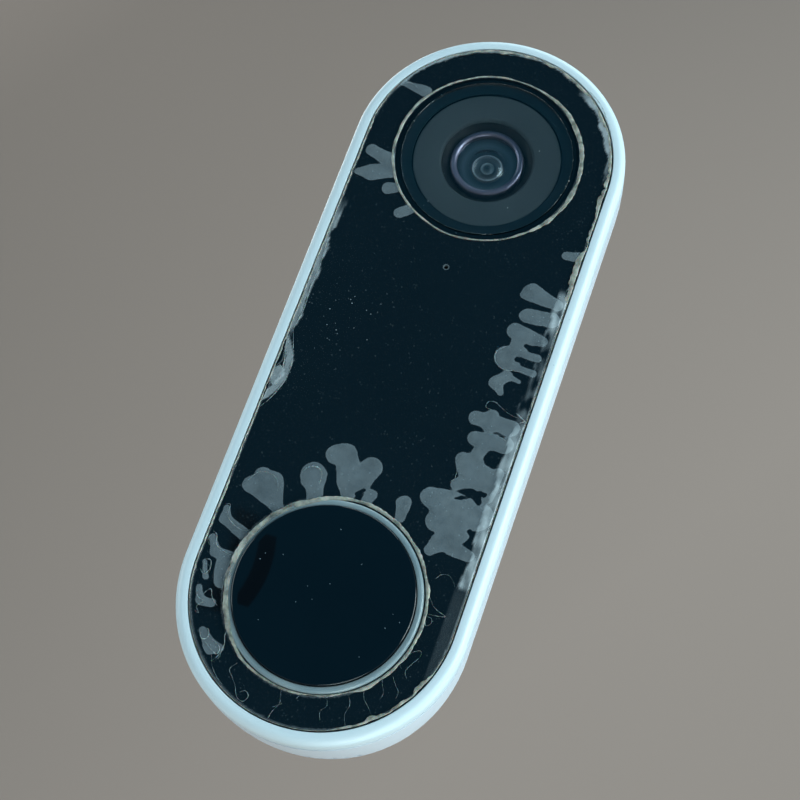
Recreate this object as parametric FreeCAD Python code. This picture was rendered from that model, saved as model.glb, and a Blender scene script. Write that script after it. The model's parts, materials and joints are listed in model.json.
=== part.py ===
import FreeCAD, Part
import math
import os

from FreeCAD import Vector

# Wired video doorbell, millimetres. +Z is up, the front faces -Y, and the origin is the centre of
# the wall plate's back face. A distance from the wall is called "out": a point lies at y = -out.

# ---------------------------------------------------------------- overall sizes
overall_length = 117.0
overall_width = 43.0
front_plane = 25.0
half_width = overall_width / 2
arc_centre = (overall_length - overall_width) / 2

# ---------------------------------------------------------------- fits and gaps
plate_gap = 0.35
cover_gap = 0.25
trim_gap = 0.05
running_gap = 0.05
slide_gap = 0.15
joint_gap = 0.02
board_gap = 0.3

# ---------------------------------------------------------------- outer shell
wall = 1.6
skirt_back = 0.6
skirt_round = 0.5
back_draw = 3.38
rim_width = 1.9
rim_round = 1.8
rim_side = 1.6
shadow_gap = 0.15
shadow_depth = 0.7

# ---------------------------------------------------------------- front stack, front to back
film_thickness = 0.15
film_margin = 0.25
glass_thickness = 1.4
glass_gap = 0.08
adhesive_thickness = 0.2
adhesive_inset = 0.3
shelf_thickness = 1.25
shelf_width = 2.0
tongue_height = 1.0
tongue_width = 0.65
chassis_rim_height = 3.4
chassis_thickness = 1.6
chassis_rim_width = 1.4
spreader_thickness = 1.3
pad_thickness = 0.5
shield_height = 1.6
main_board_thickness = 1.0

film_back = front_plane - film_thickness
glass_back = film_back - glass_thickness
shelf_front = glass_back - adhesive_thickness
shelf_back = shelf_front - shelf_thickness
bezel_back = front_plane - rim_round - rim_side
flank_run = bezel_back - shadow_gap - skirt_back
flank_radius = (flank_run ** 2 + back_draw ** 2) / (2 * back_draw)
chassis_front = shelf_back - chassis_rim_height
chassis_back = chassis_front - chassis_thickness
spreader_back = chassis_back - spreader_thickness
pad_back = spreader_back - pad_thickness
main_front = pad_back - shield_height
main_back = main_front - main_board_thickness

# ---------------------------------------------------------------- back stack, wall to front
plate_thickness = 2.4
plate_to_cover = 0.4
cover_thickness = 1.6
recess_depth = 1.8
recess_floor = 1.4
terminal_plate_thickness = 1.4
power_board_thickness = 1.2

cover_back = plate_thickness + plate_to_cover
cover_front = cover_back + cover_thickness
recess_face = cover_back + recess_depth
recess_front = recess_face + recess_floor
power_back = recess_front + terminal_plate_thickness
power_front = power_back + power_board_thickness

# ---------------------------------------------------------------- button at the lower end
button_radius = 13.2
button_proud = 0.97
button_edge_round = 0.4
button_skirt = 1.4
ring_gap = 0.15
ring_wall = 0.9
ring_proud = 0.45
ring_flange_width = 1.15
ring_flange_height = 1.15
ring_flange_drop = 0.05
button_hole_gap = 0.1
carrier_flange_height = 1.0
carrier_flange_width = 0.8
carrier_side_gap = 0.3
button_board_thickness = 1.0
button_board_margin = 0.2
switch_half = 3.1
switch_height = 1.0
switch_floor = 0.2
switch_reach = 0.7
plunger_radius = 1.6
spring_coil_radius = 5.4
spring_wire = 0.2
light_count = 6
light_size = 1.0
light_height = 0.6
pipe_radius = 0.5

ring_inner = button_radius + ring_gap
ring_outer = ring_inner + ring_wall
ring_flange_outer = ring_outer + ring_flange_width
ring_flange_front = glass_back - ring_flange_drop
ring_flange_back = ring_flange_front - ring_flange_height
button_hole = ring_outer + button_hole_gap
cap_front = front_plane + button_proud
cap_back = cap_front - button_skirt - button_proud
carrier_front = ring_flange_back - joint_gap
carrier_back = carrier_front - carrier_flange_height
carrier_flange = button_radius + carrier_flange_width
button_board_front = chassis_front + button_board_thickness
button_board_radius = ring_flange_outer + button_board_margin
pipe_circle = (carrier_flange + ring_flange_outer) / 2
light_front = button_board_front + light_height

# ---------------------------------------------------------------- camera at the upper end
window_radius = 13.4
window_thickness = 1.0
window_chamfer = 0.2
gasket_thickness = 0.25
gasket_inner = 11.7
camera_wall = 0.6
camera_floor = 1.0
camera_floor_hole = 9.5
camera_lip_drop = 0.15
mask_radius = 11.5
mask_thickness = 0.8
mask_drop = 0.05
mask_hole = 7.1
mask_hole_chamfer = 0.3
mask_shelf_width = 0.9
mask_shelf_thickness = 1.0
infrared_board_inner = 7.2
infrared_board_outer = 11.4
infrared_board_thickness = 1.0
infrared_count = 4
infrared_circle = 9.0
infrared_half = 1.1
infrared_height = 1.5
barrel_radius = 5.6
barrel_length = 4.8
lens_bezel_outer = 5.75
lens_bezel_height = 1.35
lens_bezel_round = 0.42
lens_bezel_drop = 1.85
front_lens_radius = 4.8
front_lens_rim = 1.0
front_lens_dome = 0.75
middle_lens_radius = 4.2
middle_lens_thickness = 1.2
rear_lens_radius = 3.6
rear_lens_thickness = 1.2
rear_stop_thickness = 0.2
holder_half = 6.6
holder_height = 4.0
holder_overlap = 2.4
sensor_half = 3.5
sensor_height = 0.8
sensor_board_thickness = 1.0
sensor_board_half = 10.0
sensor_board_below = 9.5
sensor_board_above = 10.0
chassis_camera_hole = 11.8
standoff_width = 1.8
standoff_height = 2.0

window_back = front_plane - window_thickness
gasket_back = window_back - gasket_thickness
mask_front = gasket_back - mask_drop
mask_back = mask_front - mask_thickness
camera_outer = window_radius + running_gap + camera_wall
camera_hole = camera_outer + trim_gap
camera_floor_front = chassis_front + camera_floor
lens_bezel_front = front_plane - lens_bezel_drop
barrel_front = lens_bezel_front - lens_bezel_height
barrel_back = barrel_front - barrel_length
holder_front = barrel_back + holder_overlap
holder_back = holder_front - holder_height
sensor_board_back = holder_back - sensor_board_thickness

# ---------------------------------------------------------------- microphone
mic_below_camera = 19.8
mic_half_width = 1.9
mic_half_height = 1.5
mic_thickness = 1.0
mic_post_half = 2.6
mic_hole = 0.5
mic_film_hole = 0.65
mic_seal_radius = 1.9
mic_seal_thickness = 1.4
mic_z = arc_centre - mic_below_camera
mic_front = glass_back - mic_seal_thickness
mic_back = mic_front - mic_thickness

# ---------------------------------------------------------------- fasteners and bosses
boss_radius = 2.6
boss_edge_gap = 1.5
boss_below = 6.0
boss_above = 5.0
pad_height = 1.0
pad_radius = 3.2
case_head_radius = 2.1
case_head_height = 1.25
case_head_drop = 0.15
case_shank_radius = 1.0
case_shank_length = 7.0
case_hole_gap = 0.15

# ---------------------------------------------------------------- boards and what they carry
cell_radius = 3.9
cell_half_length = 10.0
cell_drop = 2.9
cradle_half = 1.5
cradle_x = 6.0
cell_gap = 0.7
terminal_above_board_end = 5.4
terminal_spacing = 13.0
terminal_radius = 1.5
terminal_head_radius = 2.9
terminal_head_height = 1.56
terminal_tail = 0.8
washer_half = 3.2
washer_thickness = 0.6
terminal_half_width = 3.7
terminal_half_height = 3.5
window_half_width = 11.0
window_below_terminal = 6.0
window_above_terminal = 15.0
recess_wall = 1.4
power_board_top = 9.0
power_board_half = 14.4
main_board_top = 10.5
usb_half_width = 3.8
usb_half_height = 1.35
usb_shell = 0.3
usb_tongue = 0.35
usb_above_middle = 0.5
reset_x = 8.5
reset_radius = 1.2
reset_flange = 1.9
reset_flange_height = 0.5
reset_travel = 0.3
reset_sunk = 0.3
reset_switch_half = 1.8
reset_switch_height = 0.8

cell_z = -(arc_centre - boss_below)
power_low = cell_z + cell_radius + cell_gap
power_top = arc_centre - power_board_top
terminal_z = power_low + terminal_above_board_end
window_low = terminal_z - window_below_terminal
window_top = terminal_z + window_above_terminal
main_low = power_low
cell_out = chassis_back - cell_drop - cell_radius
main_top = arc_centre - main_board_top
usb_z = (window_top + power_top) / 2 + usb_above_middle

# ---------------------------------------------------------------- wall plate and its latch
wall_hole_radius = 2.1
wall_hole_inset = 4.0
wall_head_radius = 3.8
wall_head_depth = 1.0
hook_x = 5.0
hook_half_width = 1.5
hook_above_centre = 3.0
hook_stem = 1.6
hook_lip = 2.0
hook_lip_thickness = 0.8
hook_gap = 0.4
spacer_x = 8.5
spacer_radius = 1.5
spacer_inset = 2.0
latch_half = 4.0
latch_above_centre = 8.0
latch_slot_top = 3.5
latch_thickness = 1.5
latch_back = 0.7
latch_rib = 0.8
latch_rib_thickness = 0.6
latch_nose_half = 3.4
latch_nose_back = 1.3
latch_nose_thickness = 0.9
latch_nose_reach = 0.6
latch_travel = 1.2
latch_spring_radius = 0.62
latch_spring_wire = 0.14
pin_hole_radius = 0.8
catch_gap = 0.2

# ---------------------------------------------------------------- speaker and grille
speaker_out = 6.0
speaker_rib = 1.4
speaker_rib_half = 6.0
speaker_gap = 4.7
speaker_edge_gap = 0.6
speaker_frame_height = 4.4
speaker_wall = 1.0
magnet_side = 0.4
magnet_height = 4.0
cone_thickness = 0.3
cone_drop = 1.2
grille_radius = 0.5
grille_pitch_degrees = 5.0
grille_columns = 13
grille_row_pitch = 1.7
grille_rows = 3
grille_first = 13.4
mesh_thickness = 0.25
mesh_half_degrees = 35.0
mesh_margin = 1.0

speaker_depth = chassis_back - speaker_rib - speaker_out
magnet_radius = speaker_depth / 2 - magnet_side

# ---------------------------------------------------------------- small board parts
shield_half = 7.5
shield_above_button = 23.0
shield_top = 2.0
shield_sheet = 0.25
pad_half = 5.5
pad_inset = 2.0
spreader_half = 9.8
spreader_above_button = 21.0
spreader_below_camera = 19.0
radio_half = 6.5
radio_from_top = 12.0
radio_length = 9.0
radio_height = 1.3
inductor_half = 3.4
inductor_height = 3.0
inductor_x = -7.5
inductor_z = 10.0
connector_half = 5.0
connector_half_height = 1.5
antenna_gap = 1.6
antenna_thickness = 0.3
antenna_low = -6.0
antenna_below_camera = 17.0
antenna_back = 9.0
antenna_front = 15.0
antenna_foot = 2.0
antenna_foot_low = 2.0
antenna_foot_height = 3.0
flex_thickness = 0.15
flex_half = 1.5
flex_x = 8.3
flex_overlap = 3.0

shield_low = shield_above_button - arc_centre
spreader_low = spreader_above_button - arc_centre
spreader_top = arc_centre - spreader_below_camera
antenna_top = arc_centre - antenna_below_camera


# ================================================================ drawing helpers
def point(x, out, z):
    """A point by its place across, its distance from the wall and its height."""
    return Vector(x, -out, z)


def block(x_low, x_high, back, front, z_low, z_high):
    """A box between two distances from the wall."""
    corner = point(x_low, front, z_low)
    return Part.makeBox(x_high - x_low, front - back, z_high - z_low, corner)


def disc(radius, back, front, z, x=0.0):
    """A round slab whose axis runs straight out from the wall."""
    return Part.makeCylinder(radius, front - back, point(x, back, z), Vector(0, -1, 0))


def tube(outer, inner, back, front, z, x=0.0):
    """A round slab with a round hole."""
    return disc(outer, back, front, z, x).cut(disc(inner, back - 1, front + 1, z, x))


def capsule(radius, back, front):
    """A slab with straight sides and half-round ends about the two arc centres."""
    right = point(radius, back, arc_centre)
    left = point(-radius, back, arc_centre)
    low_left = point(-radius, back, -arc_centre)
    low_right = point(radius, back, -arc_centre)
    top = Part.Arc(right, point(0, back, arc_centre + radius), left)
    bottom = Part.Arc(low_left, point(0, back, -arc_centre - radius), low_right)
    sides = [Part.LineSegment(left, low_left), Part.LineSegment(low_right, right)]
    wire = Part.Wire([top.toShape(), sides[0].toShape(), bottom.toShape(), sides[1].toShape()])
    return Part.Face(wire).extrude(Vector(0, back - front, 0))


def capsule_ring(outer, inner, back, front):
    """A capsule slab with a capsule hole."""
    return capsule(outer, back, front).cut(capsule(inner, back - 1, front + 1))


def path_edges(start, steps):
    """Edges from (x, out) points; a step of two points is an arc through the first to the second."""
    edges = []
    here = start
    for step in steps:
        if len(step) == 1:
            edges.append(Part.LineSegment(flat(here), flat(step[0])).toShape())
        else:
            edges.append(Part.Arc(flat(here), flat(step[0]), flat(step[1])).toShape())
        here = step[-1]
    return edges


def flat(pair):
    """A profile point (x, out) in the plane of the upper arc centre."""
    return point(pair[0], pair[1], arc_centre)


def lathe_and_sweep(start, steps):
    """A closed profile carried round the whole capsule outline as one ring."""
    face = Part.Face(Part.Wire(path_edges(start, steps)))
    axis = point(0, 0, arc_centre)
    upper = face.revolve(axis, Vector(0, -1, 0), 180)
    lower = upper.mirror(Vector(0, 0, 0), Vector(0, 0, 1))
    right = face.extrude(Vector(0, 0, -2 * arc_centre))
    left = right.mirror(Vector(0, 0, 0), Vector(1, 0, 0))
    return upper.fuse([lower, right, left]).removeSplitter()


def turned(start, steps, z):
    """A closed profile turned a full circle about an axis straight out from the wall at height z."""
    face = Part.Face(Part.Wire(path_edges(start, steps)))
    ring = face.revolve(point(0, 0, arc_centre), Vector(0, -1, 0), 360)
    ring.translate(Vector(0, 0, z - arc_centre))
    return ring


def coil(radius, wire_radius, length, turns):
    """A coil spring along +Z from the origin whose overall length includes the wire."""
    rise = length - 2 * wire_radius
    helix = Part.makeHelix(rise / turns, rise, radius)
    section = Part.Wire([Part.Circle(Vector(radius, 0, 0), Vector(0, 1, 0), wire_radius).toShape()])
    spring = Part.Wire(helix.Edges).makePipeShell([section], True, True)
    spring.translate(Vector(0, 0, wire_radius))
    return spring


def around(count, radius, z, first_degrees=0.0):
    """Places (x, z) evenly spaced on a circle."""
    places = []
    for step in range(count):
        angle = math.radians(first_degrees + 360.0 * step / count)
        places.append((radius * math.cos(angle), z + radius * math.sin(angle)))
    return places


def group(solids):
    """Several separate solids kept together as one node."""
    return Part.makeCompound(solids)


def flank_drop(out):
    """How far the curved side has drawn in at a distance from the wall."""
    run = bezel_back - shadow_gap - out
    return flank_radius - math.sqrt(flank_radius ** 2 - run ** 2)


def outside(out):
    """Half width of the shell's outer face."""
    return half_width - flank_drop(out)


def inside(out):
    """Half width of the shell's inner face, a constant wall in from the outer one."""
    run = max(bezel_back - shadow_gap - out, 0.0)
    inner_radius = flank_radius - wall
    return half_width - flank_radius + math.sqrt(inner_radius ** 2 - run ** 2)


def boss_places():
    """The four screw places, two under the camera and two above the button."""
    across = inside(cover_front) - boss_radius - boss_edge_gap
    high = arc_centre - boss_above
    return [(side * across, z) for z in (high, cell_z) for side in (-1, 1)]


def rows_out():
    """Distances from the wall of the grille's rows of holes."""
    return [grille_first - grille_row_pitch * row for row in range(grille_rows)]


# ================================================================ outer shell
def make_housing_shell():
    top = bezel_back - shadow_gap
    middle = (top + skirt_back) / 2
    low = skirt_back + skirt_round
    corner = outside(low)
    bend = skirt_round * (1 - math.sqrt(0.5))
    outer_arc = [(outside(middle), middle), (half_width, top)]
    inner_arc = [(inside(middle), middle), (inside(skirt_back), skirt_back)]
    shell = lathe_and_sweep(
        (corner, low),
        [
            outer_arc,
            [(half_width - shadow_depth, top)],
            [(half_width - shadow_depth, bezel_back)],
            [(inside(top), bezel_back)],
            [(inside(top), top)],
            inner_arc,
            [(corner - skirt_round, skirt_back)],
            [(corner - bend, skirt_back + bend), (corner, low)],
        ],
    )
    rear_ledge = capsule_ring(inside(cover_front) + wall / 4, inside(cover_front) - wall,
                              cover_front, cover_front + pad_height)
    front_ledge = capsule_ring(inside(chassis_back) + wall / 4, inside(chassis_back) - wall,
                               chassis_back - pad_height, chassis_back)
    shell = shell.fuse([rear_ledge, front_ledge]).removeSplitter()
    return shell.cut(shell_cuts())


def shell_cuts():
    """Speaker holes, the release pin's hole, the catch pocket and room for the screw bosses."""
    cuts = []
    for out in rows_out():
        for column in range(grille_columns):
            angle = math.radians(grille_pitch_degrees * (column - (grille_columns - 1) / 2))
            direction = Vector(math.sin(angle), 0, -math.cos(angle))
            start = point(0, out, -arc_centre) + direction * (inside(out) - wall)
            cuts.append(Part.makeCylinder(grille_radius, 3 * wall, start, direction))
    catch_low = -(arc_centre + inside(latch_nose_back)) - latch_nose_reach - catch_gap
    nose_front = latch_nose_back + latch_nose_thickness
    cuts.append(block(-latch_nose_half - catch_gap, latch_nose_half + catch_gap,
                      latch_nose_back - catch_gap, nose_front + catch_gap,
                      catch_low, catch_low + 2 * latch_nose_reach + wall))
    pin_out = latch_nose_back + latch_nose_thickness / 2
    cuts.append(Part.makeCylinder(pin_hole_radius, 3 * wall,
                                  point(0, pin_out, catch_low + wall / 2), Vector(0, 0, -1)))
    for x, z in boss_places():
        cuts.append(disc(pad_radius + cover_gap, cover_front - 1, chassis_back - pad_height / 2, z, x)
                    .common(capsule(inside(cover_front) - joint_gap, cover_front - 1, chassis_back)))
    return cuts


def make_front_bezel():
    inner = half_width - rim_width
    side_back = front_plane - rim_round
    bend = rim_round * math.sqrt(0.5)
    tongue_outer = inside(bezel_back) - cover_gap
    tongue_inner = tongue_outer - tongue_width
    ring = lathe_and_sweep(
        (inner, front_plane),
        [
            [(half_width - rim_round, front_plane)],
            [(half_width - rim_round + bend, side_back + bend), (half_width, side_back)],
            [(half_width, bezel_back)],
            [(tongue_outer, bezel_back)],
            [(tongue_outer, bezel_back - tongue_height)],
            [(tongue_inner, bezel_back - tongue_height)],
            [(tongue_inner, shelf_back)],
            [(inner - shelf_width, shelf_back)],
            [(inner - shelf_width, shelf_front)],
            [(inner, shelf_front)],
            [(inner, front_plane)],
        ],
    )
    return ring.cut([room_for_button(), room_for_camera()])


def room_for_button():
    return disc(ring_flange_outer + plate_gap, chassis_front, glass_back, -arc_centre)


def room_for_camera():
    return disc(camera_outer + plate_gap, chassis_front, glass_back, arc_centre)


def make_front_glass():
    panel = capsule(half_width - rim_width - glass_gap, glass_back, film_back)
    holes = [
        disc(button_hole, glass_back - 1, front_plane, -arc_centre),
        disc(camera_hole, glass_back - 1, front_plane, arc_centre),
        disc(mic_hole, glass_back - 1, front_plane, mic_z),
    ]
    return panel.cut(holes)


def make_clear_film():
    sheet = capsule(half_width - rim_width - glass_gap - film_margin, film_back, front_plane)
    holes = [
        disc(button_hole + film_margin, film_back - 1, front_plane + 1, -arc_centre),
        disc(camera_hole + film_margin, film_back - 1, front_plane + 1, arc_centre),
        disc(mic_film_hole, film_back - 1, front_plane + 1, mic_z),
    ]
    return sheet.cut(holes)


def make_glass_adhesive():
    outer = half_width - rim_width - glass_gap - adhesive_inset
    ring = capsule_ring(outer, half_width - rim_width - shelf_width, shelf_front, glass_back)
    return ring.cut([room_for_button(), room_for_camera()])


# ================================================================ camera
def make_camera_housing():
    lip_front = front_plane - film_thickness - camera_lip_drop
    wall_inner = mask_radius + running_gap
    shelf_inner = wall_inner - mask_shelf_width
    shelf_low = mask_back - mask_shelf_thickness
    pocket = window_radius + running_gap
    return turned(
        (camera_floor_hole, chassis_front),
        [
            [(camera_outer, chassis_front)],
            [(camera_outer, lip_front)],
            [(pocket, lip_front)],
            [(pocket, gasket_back)],
            [(wall_inner, gasket_back)],
            [(wall_inner, mask_back)],
            [(shelf_inner, mask_back)],
            [(shelf_inner, shelf_low)],
            [(wall_inner, shelf_low)],
            [(wall_inner, camera_floor_front)],
            [(camera_floor_hole, camera_floor_front)],
            [(camera_floor_hole, chassis_front)],
        ],
        arc_centre,
    )


def make_camera_window():
    return turned(
        (0, window_back),
        [
            [(window_radius, window_back)],
            [(window_radius, front_plane - window_chamfer)],
            [(window_radius - window_chamfer, front_plane)],
            [(0, front_plane)],
            [(0, window_back)],
        ],
        arc_centre,
    )


def make_window_gasket():
    return tube(window_radius, gasket_inner, gasket_back, window_back, arc_centre)


def make_camera_mask():
    return turned(
        (mask_hole, mask_back),
        [
            [(mask_radius, mask_back)],
            [(mask_radius, mask_front)],
            [(mask_hole + mask_hole_chamfer, mask_front)],
            [(mask_hole, mask_front - mask_hole_chamfer)],
            [(mask_hole, mask_back)],
        ],
        arc_centre,
    )


def make_infrared_board():
    back = camera_floor_front
    return tube(infrared_board_outer, infrared_board_inner, back,
                back + infrared_board_thickness, arc_centre)


def make_infrared_lamps():
    back = camera_floor_front + infrared_board_thickness
    lamps = []
    for x, z in around(infrared_count, infrared_circle, arc_centre, 45.0):
        body = block(x - infrared_half, x + infrared_half, back, back + infrared_height / 2,
                     z - infrared_half, z + infrared_half)
        dome = disc(infrared_half, back + infrared_height / 2, back + infrared_height, z, x)
        lamps.append(body.fuse(dome).removeSplitter())
    return group(lamps)


def make_lens_bezel():
    inner = front_lens_radius + running_gap
    crown = lens_bezel_round
    top = lens_bezel_front
    bend = crown * (1 - math.sqrt(0.5))
    return turned(
        (inner, barrel_front),
        [
            [(lens_bezel_outer, barrel_front)],
            [(lens_bezel_outer, top - crown)],
            [(lens_bezel_outer - bend, top - bend), (lens_bezel_outer - crown, top)],
            [(inner + crown, top)],
            [(inner + bend, top - bend), (inner, top - crown)],
            [(inner, barrel_front)],
        ],
        arc_centre,
    )


def lens_places():
    """Back faces of the rear, middle and front lens inside the barrel."""
    rear = barrel_back + rear_stop_thickness
    middle = rear + rear_lens_thickness + rear_stop_thickness
    front = middle + middle_lens_thickness + rear_stop_thickness
    return rear, middle, front


def make_lens_barrel():
    rear, middle, front = lens_places()
    body = disc(barrel_radius, barrel_back, barrel_front, arc_centre)
    bores = [
        disc(rear_lens_radius - 2 * rear_stop_thickness, barrel_back - 1, rear, arc_centre),
        disc(rear_lens_radius + joint_gap, rear, middle, arc_centre),
        disc(middle_lens_radius + joint_gap, middle, front, arc_centre),
        disc(front_lens_radius + joint_gap, front, barrel_front + 1, arc_centre),
    ]
    return body.cut(bores)


def make_rear_lens():
    rear = lens_places()[0]
    return disc(rear_lens_radius, rear, rear + rear_lens_thickness, arc_centre)


def make_middle_lens():
    middle = lens_places()[1]
    return disc(middle_lens_radius, middle, middle + middle_lens_thickness, arc_centre)


def make_front_lens():
    front = lens_places()[2]
    shoulder = barrel_front + front_lens_rim / 2
    dome = front_lens_dome
    cup = front_lens_radius ** 2 / (2 * dome) + dome / 2
    half_way = front_lens_radius / 2
    half_rise = dome - (cup - math.sqrt(cup ** 2 - half_way ** 2))
    return turned(
        (0, front),
        [
            [(front_lens_radius, front)],
            [(front_lens_radius, shoulder)],
            [(half_way, shoulder + half_rise), (0, shoulder + dome)],
            [(0, front)],
        ],
        arc_centre,
    )


def make_lens_holder():
    body = block(-holder_half, holder_half, holder_back, holder_front,
                 arc_centre - holder_half, arc_centre + holder_half)
    return body.cut(disc(barrel_radius + joint_gap, holder_back - 1, holder_front + 1, arc_centre))


def make_image_sensor():
    return block(-sensor_half, sensor_half, holder_back, holder_back + sensor_height,
                 arc_centre - sensor_half, arc_centre + sensor_half)


def make_sensor_board():
    return block(-sensor_board_half, sensor_board_half, sensor_board_back, holder_back,
                 arc_centre - sensor_board_below, arc_centre + sensor_board_above)


def make_camera_flex():
    """A ribbon from the back of the sensor board down to the front of the main board."""
    fold = main_top - flex_overlap / 2
    low = block(flex_x - flex_half, flex_x + flex_half, main_front, main_front + flex_thickness,
                fold - flex_overlap, fold)
    rise = block(flex_x - flex_half, flex_x + flex_half, main_front, sensor_board_back,
                 fold - flex_thickness, fold)
    high = block(flex_x - flex_half, flex_x + flex_half, sensor_board_back - flex_thickness,
                 sensor_board_back, fold - flex_thickness,
                 arc_centre - sensor_board_below + flex_overlap)
    return low.fuse([rise, high]).removeSplitter()


# ================================================================ button
def make_button_cap():
    cap = disc(button_radius, cap_back, cap_front, -arc_centre)
    rim = [edge for edge in cap.Edges if abs(edge.BoundBox.YMin + cap_front) < joint_gap
           and abs(edge.BoundBox.YMax + cap_front) < joint_gap]
    return cap.makeFillet(button_edge_round, rim)


def make_button_carrier():
    flange = disc(carrier_flange, carrier_back, carrier_front, -arc_centre)
    hub = disc(button_radius - carrier_side_gap, carrier_front, cap_back, -arc_centre)
    return flange.fuse(hub).removeSplitter()


def make_light_ring():
    top = front_plane + ring_proud
    crown = ring_wall / 2
    bend = crown * (1 - math.sqrt(0.5))
    ring = turned(
        (ring_inner, ring_flange_back),
        [
            [(ring_flange_outer, ring_flange_back)],
            [(ring_flange_outer, ring_flange_front)],
            [(ring_outer, ring_flange_front)],
            [(ring_outer, top - crown)],
            [(ring_outer - bend, top - bend), (ring_outer - crown, top)],
            [(ring_inner, top)],
            [(ring_inner, ring_flange_back)],
        ],
        -arc_centre,
    )
    pipes = [
        disc(pipe_radius, light_front + trim_gap, ring_flange_front - trim_gap, z, x)
        for x, z in around(light_count, pipe_circle, -arc_centre)
    ]
    return ring.fuse(pipes).removeSplitter()


def make_ring_lights():
    half = light_size / 2
    return group([
        block(x - half, x + half, button_board_front, light_front, z - half, z + half)
        for x, z in around(light_count, pipe_circle, -arc_centre)
    ])


def make_button_board():
    return disc(button_board_radius, chassis_front, button_board_front, -arc_centre)


def make_button_switch():
    body = block(-switch_half, switch_half, button_board_front, button_board_front + switch_height,
                 -arc_centre - switch_half, -arc_centre + switch_half)
    well = disc(plunger_radius + running_gap, button_board_front + switch_floor,
                button_board_front + 2 * switch_height, -arc_centre)
    return body.cut(well)


def make_switch_plunger():
    return disc(plunger_radius, button_board_front + switch_reach, carrier_back, -arc_centre)


def make_button_spring():
    length = carrier_back - button_board_front - 2 * joint_gap
    spring = coil(spring_coil_radius, spring_wire, length, 2)
    spring.rotate(Vector(0, 0, 0), Vector(1, 0, 0), 90)
    spring.translate(point(0, button_board_front + joint_gap, -arc_centre))
    return spring


def make_button_flex():
    """A ribbon from the button board, through the chassis, to the front of the main board."""
    top = -arc_centre + button_board_radius
    fold = top + flex_slot() / 2
    across = 2 * flex_half
    high = block(-across, across, button_board_front, button_board_front + flex_thickness,
                 top - flex_overlap, fold + flex_thickness)
    drop = block(-across, across, main_front, button_board_front + flex_thickness,
                 fold, fold + flex_thickness)
    low = block(-across, across, main_front, main_front + flex_thickness,
                fold, fold + flex_overlap)
    return high.fuse([drop, low]).removeSplitter()


def flex_slot():
    """Width of the slot that lets the button's ribbon through the chassis."""
    return 8 * flex_thickness


# ================================================================ chassis and electronics
def make_chassis():
    edge = inside(chassis_back) - cover_gap
    rim = inside(bezel_back) - 2 * cover_gap - tongue_width
    plate = capsule(edge, chassis_back, chassis_front)
    wall_ring = capsule_ring(rim, rim - chassis_rim_width, chassis_front, shelf_back)
    wall_ring = wall_ring.cut([room_for_button(), room_for_camera()])
    post = block(-mic_post_half, mic_post_half, chassis_front, mic_back,
                 mic_z - mic_post_half, mic_z + mic_post_half)
    bosses = [disc(boss_radius, cover_front + pad_height, chassis_back, z, x)
              for x, z in boss_places()]
    frame = plate.fuse([wall_ring, post] + bosses).removeSplitter()
    slot_low = -arc_centre + button_board_radius
    cuts = [
        disc(chassis_camera_hole, chassis_back - 1, chassis_front + 1, arc_centre),
        block(-3 * flex_half, 3 * flex_half, chassis_back - 1, chassis_front + 1,
              slot_low, slot_low + 2 * flex_slot()),
    ]
    for x, z in boss_places():
        cuts.append(disc(case_shank_radius + joint_gap, cover_front,
                         cover_front + pad_height + case_shank_length, z, x))
    supports = sensor_standoffs() + cell_cradles() + [speaker_mount()]
    return frame.cut(cuts).fuse(supports).removeSplitter()


def sensor_standoffs():
    """Four short legs under the chassis that carry the sensor board by its corners."""
    legs = []
    low = arc_centre - sensor_board_below
    high = arc_centre + sensor_board_above - standoff_height
    for z in (low, high):
        for x in (-sensor_board_half, sensor_board_half - standoff_width):
            legs.append(block(x, x + standoff_width, holder_back, chassis_back,
                              z, z + standoff_height))
    return legs


def cell_cradles():
    """Two saddles under the chassis, hollowed to the round of the storage cells."""
    saddles = []
    for x in (-cradle_x, cradle_x):
        saddle = block(x - cradle_half, x + cradle_half, cell_out + cell_radius / 2, chassis_back,
                       cell_z - cell_radius / 2, cell_z + cell_radius / 2)
        cell = Part.makeCylinder(cell_radius + joint_gap, 4 * cradle_half,
                                 point(x - 2 * cradle_half, cell_out, cell_z), Vector(1, 0, 0))
        saddles.append(saddle.cut(cell))
    return saddles


def speaker_mount():
    """A rib between the chassis and the speaker's frame."""
    face = speaker_face()
    return block(-speaker_rib_half, speaker_rib_half, speaker_out + speaker_depth, chassis_back,
                 face, face + speaker_frame_height)


def make_case_screws():
    head_back = cover_back + case_head_drop
    seat = head_back + case_head_height
    screws = []
    for x, z in boss_places():
        head = disc(case_head_radius, head_back, seat, z, x)
        shank = disc(case_shank_radius, seat, seat + case_shank_length, z, x)
        socket = disc(case_head_radius / 2, head_back - 1, head_back + case_head_height / 2, z, x)
        screws.append(head.fuse(shank).removeSplitter().cut(socket))
    return group(screws)


def antenna_face():
    """Distance across to the antenna strip's outer face."""
    return inside(antenna_back) - antenna_gap


def main_board_half():
    return antenna_face() - antenna_thickness - board_gap


def make_main_board():
    half = main_board_half()
    return block(-half, half, main_back, main_front, main_low, main_top)


def make_processor_shield():
    body = block(-shield_half, shield_half, main_front, pad_back, shield_low, shield_top)
    hollow = block(-shield_half + shield_sheet, shield_half - shield_sheet, main_front - 1,
                   pad_back - shield_sheet, shield_low + shield_sheet, shield_top - shield_sheet)
    return body.cut(hollow)


def make_radio_shield():
    low = main_top - radio_from_top
    body = block(-radio_half, radio_half, main_front, main_front + radio_height,
                 low, low + radio_length)
    hollow = block(-radio_half + shield_sheet, radio_half - shield_sheet, main_front - 1,
                   main_front + radio_height - shield_sheet,
                   low + shield_sheet, low + radio_length - shield_sheet)
    return body.cut(hollow)


def make_thermal_pad():
    return block(-pad_half, pad_half, pad_back, spreader_back,
                 shield_low + pad_inset, shield_top - pad_inset)


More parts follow.
